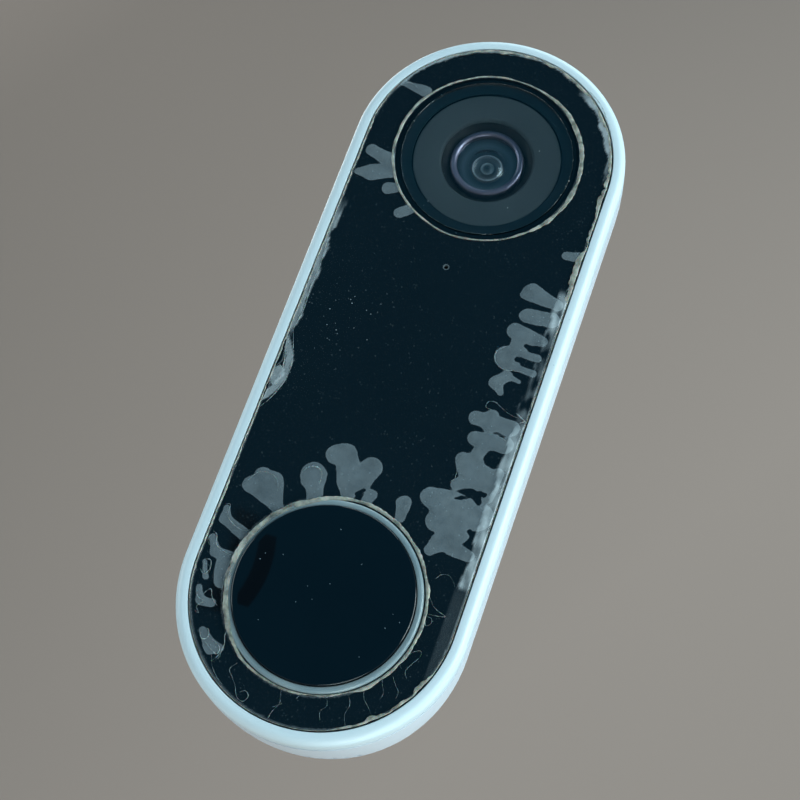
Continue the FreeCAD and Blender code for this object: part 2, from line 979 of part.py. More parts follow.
def make_heat_spreader():
    return block(-spreader_half, spreader_half, spreader_back, chassis_back,
                 spreader_low, spreader_top)


def make_power_board():
    board = block(-power_board_half, power_board_half, power_back, power_front,
                  power_low, power_top)
    holes = [disc(terminal_radius + 2 * case_hole_gap, power_back - 1, power_front + 1,
                  terminal_z, side * terminal_spacing / 2) for side in (-1, 1)]
    return board.cut(holes)


def make_power_inductor():
    core = block(inductor_x - inductor_half, inductor_x + inductor_half, power_front,
                 power_front + inductor_height,
                 inductor_z - inductor_half, inductor_z + inductor_half)
    return core


def make_storage_cells():
    """Two round cells end to end that carry the doorbell through a chime press."""
    cells = []
    for side in (-1, 1):
        start = point(side * joint_gap, cell_out, cell_z)
        cells.append(Part.makeCylinder(cell_radius, cell_half_length, start, Vector(side, 0, 0)))
    return group(cells)


def make_board_connector():
    return block(-connector_half, connector_half, power_front, main_back,
                 -connector_half_height, connector_half_height)


def make_antenna():
    """A stamped strip beside the main board, on a foot soldered to the board's front."""
    outer = antenna_face()
    strip = block(outer - antenna_thickness, outer, antenna_back, antenna_front,
                  antenna_low, antenna_top)
    foot = block(main_board_half() - antenna_foot, outer, main_front,
                 main_front + antenna_thickness,
                 antenna_foot_low, antenna_foot_low + antenna_foot_height)
    return strip.fuse(foot).removeSplitter()


def make_microphone():
    return block(-mic_half_width, mic_half_width, mic_back, mic_front,
                 mic_z - mic_half_height, mic_z + mic_half_height)


def make_microphone_seal():
    return tube(mic_seal_radius, mic_film_hole, mic_front, glass_back, mic_z)


def make_usb_socket():
    body = block(-usb_half_width, usb_half_width, cover_back + case_head_drop, power_back,
                 usb_z - usb_half_height, usb_z + usb_half_height)
    mouth = block(-usb_half_width + usb_shell, usb_half_width - usb_shell, cover_back - 1,
                  power_back - usb_half_height,
                  usb_z - usb_half_height + usb_shell, usb_z + usb_half_height - usb_shell)
    tongue = block(-usb_half_width + 3 * usb_shell, usb_half_width - 3 * usb_shell,
                   cover_front - pad_height, power_back - usb_half_height,
                   usb_z - usb_tongue / 2, usb_z + usb_tongue / 2)
    return body.cut(mouth).fuse(tongue).removeSplitter()


# ================================================================ speaker
def speaker_half_width():
    """Half the chord of the shell's inner end at the speaker's front face."""
    radius = inside(speaker_out)
    return math.sqrt(radius ** 2 - (radius - speaker_gap) ** 2) - speaker_edge_gap


def speaker_face():
    """Height of the speaker's front face, which looks down."""
    return -(arc_centre + inside(speaker_out) - speaker_gap)


def make_speaker_frame():
    half = speaker_half_width()
    face = speaker_face()
    top = face + speaker_frame_height
    body = block(-half, half, speaker_out, speaker_out + speaker_depth, face, top)
    middle = speaker_out + speaker_depth / 2
    well = block(-half + speaker_wall, half - speaker_wall, speaker_out + speaker_wall,
                 speaker_out + speaker_depth - speaker_wall, face - 1, top - speaker_wall)
    bore = Part.makeCylinder(magnet_radius, 2 * speaker_wall,
                             point(0, middle, top - 1.5 * speaker_wall), Vector(0, 0, 1))
    return body.cut([well, bore])


def make_speaker_magnet():
    middle = speaker_out + speaker_depth / 2
    start = speaker_face() + speaker_frame_height - speaker_wall
    return Part.makeCylinder(magnet_radius, magnet_height, point(0, middle, start), Vector(0, 0, 1))


def make_speaker_cone():
    """A thin oblong tray whose sloping sides run in to a flat centre."""
    half = speaker_half_width() - speaker_wall - joint_gap
    deep = speaker_depth / 2 - speaker_wall - joint_gap
    middle = speaker_out + speaker_depth / 2
    face = speaker_face()

    def ring(width, depth, z):
        corners = [point(-width, middle - depth, z), point(width, middle - depth, z),
                   point(width, middle + depth, z), point(-width, middle + depth, z)]
        return Part.makePolygon(corners + corners[:1])

    outer = Part.makeLoft([ring(half, deep, face),
                           ring(half - cone_drop, deep - cone_drop, face + cone_drop)], True)
    inner = Part.makeLoft([ring(half - cone_thickness, deep - cone_thickness, face),
                           ring(half - cone_drop - cone_thickness, deep - cone_drop - cone_thickness,
                                face + cone_drop - cone_thickness)], True)
    return outer.cut(inner)


def make_grille_mesh():
    """A thin curved strip against the inside of the shell's lower end, behind the grille holes."""
    rows = rows_out()
    back = min(rows) - mesh_margin
    front = max(rows) + mesh_margin
    middle = (back + front) / 2

    def skin(out, depth):
        return (inside(out) - joint_gap - depth, out)

    face = Part.Face(Part.Wire(path_edges(
        skin(back, 0),
        [
            [skin(middle, 0), skin(front, 0)],
            [skin(front, mesh_thickness)],
            [skin(middle, mesh_thickness), skin(back, mesh_thickness)],
            [skin(back, 0)],
        ],
    )))
    face.rotate(point(0, 0, arc_centre), Vector(0, 1, 0), 90 - mesh_half_degrees)
    strip = face.revolve(point(0, 0, arc_centre), Vector(0, 1, 0), 2 * mesh_half_degrees)
    strip.translate(Vector(0, 0, -2 * arc_centre))
    return strip


# ================================================================ back of the doorbell
def make_rear_cover():
    edge = inside(cover_back) - cover_gap
    panel = capsule(edge, cover_back, cover_front)
    low = window_low
    high = window_top
    half = window_half_width
    recess = block(-half - recess_wall, half + recess_wall, cover_back, recess_front,
                   low - recess_wall, high + recess_wall)
    pads = [disc(pad_radius, cover_back, cover_front + pad_height, z, x) for x, z in boss_places()]
    cover = panel.fuse([recess] + pads).removeSplitter()
    step = capsule_ring(edge + 1, edge - seal_width(), cover_back + cover_thickness / 2,
                        cover_front + 2 * pad_height)
    cuts = [block(-half, half, 0, recess_face, low, high), step]
    for side in (-1, 1):
        cuts.append(disc(terminal_radius + 2 * case_hole_gap, 0, recess_front + 1,
                         terminal_z, side * terminal_spacing / 2))
    for x, z in boss_places():
        cuts.append(disc(case_head_radius + case_hole_gap, 0,
                         cover_back + case_head_drop + case_head_height, z, x))
        cuts.append(disc(case_shank_radius + case_hole_gap, 0, cover_front + 2 * pad_height, z, x))
    cuts.append(block(-usb_half_width - slide_gap, usb_half_width + slide_gap, 0, cover_front + 1,
                      usb_z - usb_half_height - slide_gap, usb_z + usb_half_height + slide_gap))
    cuts.append(disc(reset_radius + slide_gap, 0, cover_front + 1, usb_z, reset_x))
    cuts.append(hook_window())
    return cover.cut(cuts)


def seal_width():
    """Width of the soft seal in the rear cover's edge."""
    return 3 * wall / 4


def make_rear_seal():
    edge = inside(cover_back) - cover_gap
    back = cover_back + cover_thickness / 2
    return capsule_ring(inside(back) - joint_gap, edge - seal_width(), back, cover_front)


def hook_z():
    """Underside of the wall plate's hooks."""
    return arc_centre + hook_above_centre


def hook_window():
    half = hook_x + hook_half_width + hook_gap
    low = hook_z() - hook_gap
    return block(-half, half, 0, cover_front + 1, low, low + hook_stem + 2 * hook_gap)


def make_reset_key():
    tip = cover_back + reset_sunk
    flange_back = cover_front + joint_gap
    stem = disc(reset_radius, tip, flange_back, usb_z, reset_x)
    flange = disc(reset_flange, flange_back, flange_back + reset_flange_height, usb_z, reset_x)
    nib_front = power_back - reset_switch_height - reset_travel - 2 * joint_gap
    nib = disc(reset_radius / 2, flange_back, nib_front, usb_z, reset_x)
    return stem.fuse([flange, nib]).removeSplitter()


def make_reset_switch():
    return block(reset_x - reset_switch_half, reset_x + reset_switch_half,
                 power_back - reset_switch_height, power_back,
                 usb_z - reset_switch_half, usb_z + reset_switch_half)


def make_terminal_plates():
    plates = []
    for side in (-1, 1):
        x = side * terminal_spacing / 2
        plate = block(x - terminal_half_width, x + terminal_half_width, recess_front, power_back,
                      terminal_z - terminal_half_height, terminal_z + terminal_half_height)
        thread = disc(terminal_radius + running_gap, recess_front - 1, power_back + 1, terminal_z, x)
        plates.append(plate.cut(thread))
    return group(plates)


def make_terminal_washer(side):
    front = recess_face - joint_gap
    back = front - washer_thickness
    x = side * terminal_spacing / 2
    plate = block(x - washer_half, x + washer_half, back, front,
                  terminal_z - washer_half, terminal_z + washer_half)
    return plate.cut(disc(terminal_radius + running_gap, back - 1, front + 1, terminal_z, x))


def make_terminal_screw(side):
    seat = recess_face - 2 * joint_gap - washer_thickness
    back = seat - terminal_head_height
    x = side * terminal_spacing / 2
    head = disc(terminal_head_radius, back, seat, terminal_z, x)
    shank = disc(terminal_radius, seat, power_back + terminal_tail, terminal_z, x)
    slot_half = terminal_head_height / 4
    slot = block(x - terminal_head_radius, x + terminal_head_radius, back - 1,
                 back + terminal_head_height / 2, terminal_z - slot_half, terminal_z + slot_half)
    cross = block(x - slot_half, x + slot_half, back - 1, back + terminal_head_height / 2,
                  terminal_z - terminal_head_radius / 2, terminal_z + terminal_head_radius / 2)
    return head.fuse(shank).removeSplitter().cut([slot, cross])


# ================================================================ wall plate and latch
def latch_end():
    """Height of the latch's upper end, where its spring pushes."""
    return -(arc_centre + latch_above_centre)


def latch_slot_end():
    """Height of the upper end of the latch's slot in the wall plate."""
    return -(arc_centre + latch_slot_top)


def plate_edge():
    return inside(skirt_back) - plate_gap


def make_wall_plate():
    plate = capsule(plate_edge(), 0, plate_thickness)
    hooks = []
    for side in (-1, 1):
        x = side * hook_x
        low = hook_z()
        lip_back = cover_front + joint_gap
        stem = block(x - hook_half_width, x + hook_half_width, plate_thickness,
                     lip_back + hook_lip_thickness, low, low + hook_stem)
        lip = block(x - hook_half_width, x + hook_half_width, lip_back,
                    lip_back + hook_lip_thickness, low, low + hook_stem + hook_lip)
        hooks += [stem, lip]
    spacer_z = arc_centre - spacer_inset
    spacers = [disc(spacer_radius, plate_thickness, cover_back, up * spacer_z, side * spacer_x)
               for side in (-1, 1) for up in (-1, 1)]
    plate = plate.fuse(hooks + spacers).removeSplitter()
    cuts = [block(-window_half_width, window_half_width, -1, plate_thickness + 1,
                  window_low, window_top)]
    for side in (-1, 1):
        z = side * (arc_centre - wall_hole_inset)
        cuts.append(disc(wall_hole_radius, -1, plate_thickness + 1, z))
        cuts.append(disc(wall_head_radius, plate_thickness - wall_head_depth,
                         plate_thickness + 1, z))
    bottom = -(arc_centre + half_width)
    slot_half = latch_half + slide_gap
    cuts.append(block(-slot_half, slot_half, latch_back - slide_gap, plate_thickness + 1,
                      bottom, latch_slot_end()))
    rib_half = latch_half + latch_rib + slide_gap
    rib_back = latch_rib_back()
    cuts.append(block(-rib_half, rib_half, rib_back - slide_gap,
                      rib_back + latch_rib_thickness + slide_gap, bottom,
                      latch_end() + latch_travel + slide_gap))
    return plate.cut(cuts)


def latch_rib_back():
    return latch_back + (latch_thickness - latch_rib_thickness) / 2


def make_release_latch():
    edge = plate_edge()
    end = latch_end()
    low = -(arc_centre + math.sqrt(edge ** 2 - (latch_half + latch_rib) ** 2))
    body = block(-latch_half, latch_half, latch_back, latch_back + latch_thickness, low, end)
    rib_back = latch_rib_back()
    ribs = block(-latch_half - latch_rib, latch_half + latch_rib, rib_back,
                 rib_back + latch_rib_thickness, low, end)
    nose_low = -(arc_centre + inside(latch_nose_back)) - latch_nose_reach
    nose = block(-latch_nose_half, latch_nose_half, latch_nose_back,
                 latch_nose_back + latch_nose_thickness - slide_gap, nose_low, low + latch_nose_reach)
    return body.fuse([ribs, nose]).removeSplitter()


def make_latch_spring():
    length = latch_slot_end() - latch_end() - 2 * joint_gap
    spring = coil(latch_spring_radius, latch_spring_wire, length, 7)
    spring.translate(point(0, latch_back + latch_thickness / 2, latch_end() + joint_gap))
    return spring


# ================================================================ nodes
nodes = {
    "wall_plate": make_wall_plate,
    "release_latch": make_release_latch,
    "latch_spring": make_latch_spring,
    "housing_shell": make_housing_shell,
    "front_bezel": make_front_bezel,
    "front_glass": make_front_glass,
    "clear_film": make_clear_film,
    "glass_adhesive": make_glass_adhesive,
    "camera_housing": make_camera_housing,
    "camera_window": make_camera_window,
    "window_gasket": make_window_gasket,
    "camera_mask": make_camera_mask,
    "infrared_board": make_infrared_board,
    "infrared_lamps": make_infrared_lamps,
    "lens_bezel": make_lens_bezel,
    "lens_barrel": make_lens_barrel,
    "front_lens": make_front_lens,
    "middle_lens": make_middle_lens,
    "rear_lens": make_rear_lens,
    "lens_holder": make_lens_holder,
    "image_sensor": make_image_sensor,
    "sensor_board": make_sensor_board,
    "camera_flex": make_camera_flex,
    "button_cap": make_button_cap,
    "button_carrier": make_button_carrier,
    "light_ring": make_light_ring,
    "ring_lights": make_ring_lights,
    "button_board": make_button_board,
    "button_switch": make_button_switch,
    "switch_plunger": make_switch_plunger,
    "button_spring": make_button_spring,
    "button_flex": make_button_flex,
    "chassis": make_chassis,
    "case_screws": make_case_screws,
    "main_board": make_main_board,
    "processor_shield": make_processor_shield,
    "radio_shield": make_radio_shield,
    "thermal_pad": make_thermal_pad,
    "heat_spreader": make_heat_spreader,
    "power_board": make_power_board,
    "power_inductor": make_power_inductor,
    "storage_cells": make_storage_cells,
    "board_connector": make_board_connector,
    "antenna": make_antenna,
    "microphone": make_microphone,
    "microphone_seal": make_microphone_seal,
    "usb_socket": make_usb_socket,
    "speaker_frame": make_speaker_frame,
    "speaker_magnet": make_speaker_magnet,
    "speaker_cone": make_speaker_cone,
    "grille_mesh": make_grille_mesh,
    "rear_cover": make_rear_cover,
    "rear_seal": make_rear_seal,
    "reset_key": make_reset_key,
    "reset_switch": make_reset_switch,
    "terminal_plates": make_terminal_plates,
    "terminal_washer_left": lambda: make_terminal_washer(-1),
    "terminal_washer_right": lambda: make_terminal_washer(1),
    "terminal_screw_left": lambda: make_terminal_screw(-1),
    "terminal_screw_right": lambda: make_terminal_screw(1),
}

os.makedirs("parts", exist_ok=True)
for node, make in nodes.items():
    shape = make()
    shape.exportStep(os.path.join("parts", node + ".step"))
    size = shape.BoundBox
    print("%-22s solids %d valid %s  %.2f x %.2f x %.2f" % (
        node, len(shape.Solids), shape.isValid(), size.XLength, size.YLength, size.ZLength))
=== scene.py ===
import json
import bmesh
import bpy
import numpy as np
from mathutils import Matrix, Vector


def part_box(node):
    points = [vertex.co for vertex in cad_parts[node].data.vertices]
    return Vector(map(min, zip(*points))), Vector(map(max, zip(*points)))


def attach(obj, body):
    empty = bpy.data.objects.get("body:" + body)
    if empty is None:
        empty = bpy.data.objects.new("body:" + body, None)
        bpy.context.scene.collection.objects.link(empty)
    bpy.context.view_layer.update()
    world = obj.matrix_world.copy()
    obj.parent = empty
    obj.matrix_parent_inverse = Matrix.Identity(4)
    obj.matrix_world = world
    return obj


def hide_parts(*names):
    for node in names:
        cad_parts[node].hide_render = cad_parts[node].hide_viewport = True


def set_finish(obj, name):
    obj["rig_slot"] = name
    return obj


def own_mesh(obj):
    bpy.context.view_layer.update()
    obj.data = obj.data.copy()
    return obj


# %% [markdown]
# # A video doorbell
# A long narrow doorbell with half-round ends: a white rim and side shell, a glossy black front, a
# camera under a round window at the top and a large push button with a light ring at the bottom.
# The clear film over its front is coming away, and the glue under it has drawn out in fingers.
# The measured solids come in first, and they stay where they are. Every visible skin is then worked
# out with numpy around them, so its place comes from the solids and nothing is fitted by eye.
# The film's holes clear the pieces inside them by margins that are named once, here.

# %% Load the measured solids
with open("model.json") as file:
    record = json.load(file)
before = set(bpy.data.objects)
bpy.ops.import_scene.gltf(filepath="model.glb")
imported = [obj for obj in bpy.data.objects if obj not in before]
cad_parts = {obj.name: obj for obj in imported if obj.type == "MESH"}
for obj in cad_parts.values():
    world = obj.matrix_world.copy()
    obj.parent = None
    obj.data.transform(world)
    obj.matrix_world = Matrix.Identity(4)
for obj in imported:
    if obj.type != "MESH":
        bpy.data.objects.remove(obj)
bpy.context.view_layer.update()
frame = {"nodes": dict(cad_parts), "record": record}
MM = 0.001


def reach(node):
    """Half width, back and front distance from the wall, and top and bottom of a solid, in mm."""
    low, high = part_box(node)
    return {"half": high.x / MM, "back": -high.y / MM, "front": -low.y / MM,
            "low": low.z / MM, "high": high.z / MM}


rim_box = reach("front_bezel")
film_box = reach("clear_film")
button_box = reach("button_cap")
half_width = rim_box["half"]
arc_centre = rim_box["high"] - half_width
front_plane = film_box["front"]
film_half = film_box["half"]
button_radius = button_box["half"]
film_thickness = film_box["front"] - film_box["back"]
HOLE_CLEARANCE, RING_ALLOWANCE, MICROPHONE_DROP = 0.3, 1.4, 19.8
camera_hole = reach("camera_housing")["half"] + HOLE_CLEARANCE
button_hole = button_radius + RING_ALLOWANCE
microphone_z = arc_centre - MICROPHONE_DROP
print("half width", round(half_width, 2), "arc centres at", round(arc_centre, 2), "mm")

# %% [markdown]
# ## Shapes as whole arrays
# The front faces -Y, and a distance from the wall is called out. Almost every piece of a moulded
# product is one profile, either turned about an axis or carried round an outline, so two
# functions make most of this object. A profile's corners are softened, because no moulded or
# turned edge is perfectly sharp, and a soft edge is what catches the light.

# %% Profiles and grids
def to_frame(across, out, high):
    """Millimetre arrays for across, out and height as points in metres: y is minus out."""
    across, out, high = np.broadcast_arrays(across, out, high)
    return np.stack([across, -out, high], -1) * MM


def soften(corners, closed=True, steps=5):
    """A profile from corners (across, out, soft). Each corner is cut back by soft along its two
    edges, and the cut is bridged by (1-t)^2 of its start, 2t(1-t) of the corner, t^2 of its end."""
    places = np.array([corner[:2] for corner in corners], float)
    t = np.linspace(0, 1, steps)[:, None]
    made = []
    for i, (here, corner) in enumerate(zip(places, corners)):
        before, after = places[i - 1], places[(i + 1) % len(places)]
        end = not closed and i in (0, len(places) - 1)
        if corner[2] == 0 or end:
            made.append(here[None, :])
            continue
        start = here + (before - here) * corner[2] / np.linalg.norm(before - here)
        stop = here + (after - here) * corner[2] / np.linalg.norm(after - here)
        made.append((1 - t) ** 2 * start + 2 * t * (1 - t) * here + t ** 2 * stop)
    return np.concatenate(made)


def grid_faces(rows, columns, close_rows, close_columns):
    """Four-sided faces of a grid of points; a closed direction joins its last line to its first."""
    i = np.arange(rows if close_rows else rows - 1)[:, None]
    j = np.arange(columns if close_columns else columns - 1)[None, :]
    up, on = (i + 1) % rows, (j + 1) % columns
    corners = [i * columns + j, up * columns + j, up * columns + on, i * columns + on]
    return np.stack([np.broadcast_to(c, (i.size, j.size)) for c in corners], -1).reshape(-1, 4)

# %% [markdown]
# ### From arrays to pieces
# A piece is a mesh that rides on one of the measured bodies. A Screw modifier could turn a profile
# too, but with whole arrays the same few lines either turn it or carry it round the outline.

# %% Pieces, turned or carried
def make_piece(name, points, faces, slot, body="doorbell", stands_for=(), sharp=38.0, solid=True):
    """A mesh piece that rides on a body; an edge bent by more than sharp degrees stays crisp. On a
    solid, doubles at poles and seams are merged and its faces turned outwards."""
    mesh = bpy.data.meshes.new(name)
    mesh.from_pydata(points.reshape(-1, 3).tolist(), [], faces.tolist())
    work = bmesh.new()
    work.from_mesh(mesh)
    if solid:
        bmesh.ops.remove_doubles(work, verts=work.verts, dist=0.0005 * MM)
        bmesh.ops.recalc_face_normals(work, faces=work.faces)
    work.to_mesh(mesh)
    work.free()
    mesh.polygons.foreach_set("use_smooth", np.ones(len(mesh.polygons), bool))
    mesh.set_sharp_from_angle(angle=np.radians(sharp))
    piece = bpy.data.objects.new(name, mesh)
    bpy.context.scene.collection.objects.link(piece)
    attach(piece, body)
    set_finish(piece, slot)
    if stands_for:
        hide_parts(*stands_for)
    print(name, len(mesh.polygons), "faces")
    return piece


def lathe(name, corners, slot, height, closed=True, steps=160, **how):
    """A profile turned about an axis that runs straight out from the wall:
    x = r cos(a), z = height + r sin(a), for an angle a from 0 to a full turn."""
    profile = soften(corners, closed)
    angle = np.linspace(0, 2 * np.pi, steps, endpoint=False)[:, None]
    points = to_frame(profile[:, 0] * np.cos(angle), profile[:, 1],
                      height + profile[:, 0] * np.sin(angle))
    return make_piece(name, points, grid_faces(steps, len(profile), True, closed), slot, **how)


def outline_walk(arc_steps=96, side_steps=60):
    """Once round a shape with straight sides and half-round ends, as the cosine and sine of the
    outward direction and the height of the centre line that it is measured from."""
    up = np.linspace(0, np.pi, arc_steps)
    side = np.linspace(1, -1, side_steps)[1:-1]
    angle = np.concatenate([up, np.full(side.size, np.pi), up + np.pi, np.zeros(side.size)])
    spine = np.concatenate([np.ones(arc_steps), side, -np.ones(arc_steps), -side]) * arc_centre
    return np.cos(angle), np.sin(angle), spine


def carried(name, corners, slot, closed=True, **how):
    """A profile (distance from the centre line, out) carried once round the doorbell's outline."""
    profile = soften(corners, closed)
    cosine, sine, spine = (line[:, None] for line in outline_walk())
    points = to_frame(profile[:, 0] * cosine, profile[:, 1], spine + profile[:, 0] * sine)
    return make_piece(name, points, grid_faces(len(cosine), len(profile), True, closed), slot, **how)

# %% [markdown]
# ## Fields
# The film, its glue fingers and the glue lines are irregular, and drawing each point of them would
# be endless. They are described by distance instead: how far a place is from the edge of a shape.
# Rounded strokes give the fingers, a soft minimum melts neighbours together as glue does, and a
# ripple that shifts the places first makes every edge slightly uneven.

# %% Distances and ripples
def ripple(x, z, size, seed):
    """An uneven surface between about -1 and 1: eight waves near one length, each at its own
    angle and phase, added and divided by the square root of their number."""
    draw, waves = np.random.default_rng(seed), 8
    total = np.zeros(np.broadcast(x, z).shape)
    for _ in range(waves):
        angle, phase = draw.uniform(0, 2 * np.pi), draw.uniform(0, 2 * np.pi)
        stretch = draw.uniform(0.6, 1.5)
        along = x * np.cos(angle) + z * np.sin(angle)
        total += np.sin(2 * np.pi * stretch * along / size + phase)
    return total / np.sqrt(waves)


def stroke(x, z, line):
    """Distance to a rounded stroke whose radius runs evenly from its first end to its second."""
    ax, az, a_radius, bx, bz, b_radius = line
    run = (bx - ax) ** 2 + (bz - az) ** 2 + 1e-9
    t = np.clip(((x - ax) * (bx - ax) + (z - az) * (bz - az)) / run, 0, 1)
    middle = np.hypot(x - ax - t * (bx - ax), z - az - t * (bz - az))
    return middle - a_radius - t * (b_radius - a_radius)


def melted(x, z, lines, softness=0.22):
    """Soft minimum of several strokes: minus softness times the log of the summed exponentials.
    Distances are held between -4 and 9 mm, so that no exponential overflows."""
    total = sum(np.exp(-np.clip(stroke(x, z, line), -4, 9) / softness) for line in lines)
    return -softness * np.log(total + 1e-30)


def capsule_gap(x, z, radius):
    """Distance outside the doorbell's outline at a radius; it is negative inside."""
    return np.hypot(x, z - np.clip(z, -arc_centre, arc_centre)) - radius


def step(value, low, high):
    """0 below low, 1 above high, and 3t^2 - 2t^3 in between."""
    t = np.clip((value - low) / (high - low), 0, 1)
    return t * t * (3 - 2 * t)

# %% [markdown]
# ## Finishes that share their grain
# Moulded plastic, board resin and turned metal differ in colour, but all have a fine grain, a slow
# drift of tone and a little dust. That is one node group with named inputs, placed in every
# material with its own values. It reads Object coordinates in metres, so a scale of 2000 is a grain of
# half a millimetre on every piece, whatever its size.

# %% Node helpers
def put(tree, kind, sockets=None, **settings):
    """Adds a shader node; a socket given another node's output is linked, a value is set."""
    node = tree.nodes.new("ShaderNode" + kind)
    for name, value in settings.items():
        setattr(node, name, value)
    for name, value in (sockets or {}).items():
        if isinstance(value, bpy.types.NodeSocket):
            tree.links.new(value, node.inputs[name])
        else:
            node.inputs[name].default_value = value
    return node


def new_group(name, inputs, outputs):
    """An empty node group with its sockets; inputs are (name, kind, value)."""
    tree = bpy.data.node_groups.new(name, "ShaderNodeTree")
    for label, kind, value in inputs:
        socket = tree.interface.new_socket(label, in_out="INPUT", socket_type="NodeSocket" + kind)
        socket.default_value = value
    for label, kind in outputs:
        tree.interface.new_socket(label, in_out="OUTPUT", socket_type="NodeSocket" + kind)
    return tree, tree.nodes.new("NodeGroupInput").outputs, tree.nodes.new("NodeGroupOutput").inputs


def maths(tree, operation, first, second=0.0, third=0.0, clamp=False):
    """One Math node's result."""
    return put(tree, "Math", {0: first, 1: second, 2: third}, operation=operation, use_clamp=clamp).outputs[0]


def times(tree, *values):
    """Values multiplied one after another."""
    result = values[0]
    for value in values[1:]:
        result = maths(tree, "MULTIPLY", result, value)
    return result


def added(tree, *values):
    """Values added one after another, with the sum held between 0 and 1."""
    result = values[0]
    for place, value in enumerate(values[1:], 2):
        result = maths(tree, "ADD", result, value, clamp=place == len(values))
    return result


def mapped(tree, value, low, high, to_low=0.0, to_high=1.0):
    """A value carried from the range low to high onto to_low to to_high, and held there."""
    return put(tree, "MapRange", {"Value": value, "From Min": low, "From Max": high,
                                  "To Min": to_low, "To Max": to_high}).outputs[0]


def noise(tree, scale, detail, **more):
    """Noise on Object coordinates; scale is in waves per metre."""
    where = put(tree, "TexCoord").outputs["Object"]
    return put(tree, "TexNoise", {"Vector": where, "Scale": scale, "Detail": detail, **more}).outputs["Fac"]


def add_bump(tree, shader, height, depth, strength=1.0):
    """Feeds a height of depth mm to a shader's normal."""
    bump = put(tree, "Bump", {"Height": height, "Distance": depth * MM, "Strength": strength})
    tree.links.new(bump.outputs["Normal"], shader.inputs["Normal"])


def blend_colour(tree, amount, first, second):
    """A Mix node for colours."""
    node = put(tree, "Mix", data_type="RGBA")
    for index, value in ((0, amount), (6, first), (7, second)):
        if isinstance(value, bpy.types.NodeSocket):
            tree.links.new(value, node.inputs[index])
        else:
            node.inputs[index].default_value = value
    return node.outputs[2]


def colour(red, green, blue):
    return (red, green, blue, 1.0)

# %% [markdown]
# ### The shared grain
# Noise at two scales gives the grain and the drift. Dust is cells that pass two tests: their random
# red is low, so they are few, and the place is near the cell's middle, so the specks are small.

# %% The shared group
def surface_grain():
    """Grain, drifting tone and sparse dust, for any material."""
    tree, given, out = new_group(
        "surface_grain",
        [("Light", "Color", colour(1, 1, 1)), ("Dark", "Color", colour(0, 0, 0)),
         ("Grain", "Float", 2000.0), ("Drift", "Float", 60.0), ("Roughness", "Float", 0.4),
         ("Spread", "Float", 0.1), ("Dust", "Float", 0.2)],
        [("Color", "Color"), ("Roughness", "Float"), ("Height", "Float"), ("Dust", "Float")])
    fine, slow = noise(tree, given["Grain"], 3.0), noise(tree, given["Drift"], 4.0)
    tone = maths(tree, "MULTIPLY_ADD", slow, 1.6, -0.3)
    where = put(tree, "TexCoord").outputs["Object"]
    cells = put(tree, "TexVoronoi", {"Vector": where, "Scale": 2400.0})
    chosen = put(tree, "SeparateColor", {"Color": cells.outputs["Color"]})
    near = maths(tree, "LESS_THAN", cells.outputs["Distance"], times(tree, chosen.outputs["Green"], 0.22))
    few = maths(tree, "LESS_THAN", chosen.outputs["Red"], times(tree, given["Dust"], 0.12))
    dust = times(tree, near, few)
    half = times(tree, dust, 0.5)
    base = blend_colour(tree, tone, given["Dark"], given["Light"])
    tree.links.new(blend_colour(tree, half, base, colour(0.36, 0.52, 0.60)), out["Color"])
    uneven = times(tree, maths(tree, "SUBTRACT", slow, 0.5), given["Spread"])
    tree.links.new(added(tree, given["Roughness"], uneven, half), out["Roughness"])
    tree.links.new(fine, out["Height"])
    tree.links.new(dust, out["Dust"])
    return tree


GRAIN = surface_grain()
print("shared node group:", GRAIN.name)

# %% [markdown]
# ### From the group to a finish
# Each material keeps its own shader and places the group with its own values, so a plain finish
# is a name, two tones and a few numbers.

# %% Materials with the group in them
def new_material(name):
    """An empty material; returns it with its tree and its shader."""
    material = bpy.data.materials.new(name)
    material.use_nodes = True
    return material, material.node_tree, material.node_tree.nodes["Principled BSDF"]


def start_material(name, light, dark, grain=2000.0, drift=60.0, roughness=0.4, spread=0.15, dust=0.2):
    """A material with the shared grain group placed in it; returns its tree, group and shader."""
    material, tree, shader = new_material(name)
    group = put(tree, "Group", node_tree=GRAIN)
    for label, value in (("Light", colour(*light)), ("Dark", colour(*dark)), ("Grain", grain),
                         ("Drift", drift), ("Roughness", roughness), ("Spread", spread), ("Dust", dust)):
        group.inputs[label].default_value = value
    tree.links.new(group.outputs["Color"], shader.inputs["Base Color"])
    tree.links.new(group.outputs["Roughness"], shader.inputs["Roughness"])
    return material, tree, group, shader


def finish(name, light, dark, depth=0.006, sockets=None, **grain):
    """A plain finish: the shared grain in colour and roughness, and as a bump of depth mm."""
    material, tree, group, shader = start_material(name, light, dark, **grain)
    add_bump(tree, shader, group.outputs["Height"], depth)
    for label, value in (sockets or {}).items():
        shader.inputs[label].default_value = value
    return material

# %% [markdown]
# ## The plain finishes
# Each finish is named as the maker would name it. The white plastics are satin with a faint cool
# tone; the blacks are either matt moulded or polished; metals differ in tint and grain. A row is
# the slot, then the name, light tone, dark tone, roughness, grain, bump depth in mm, and dust.

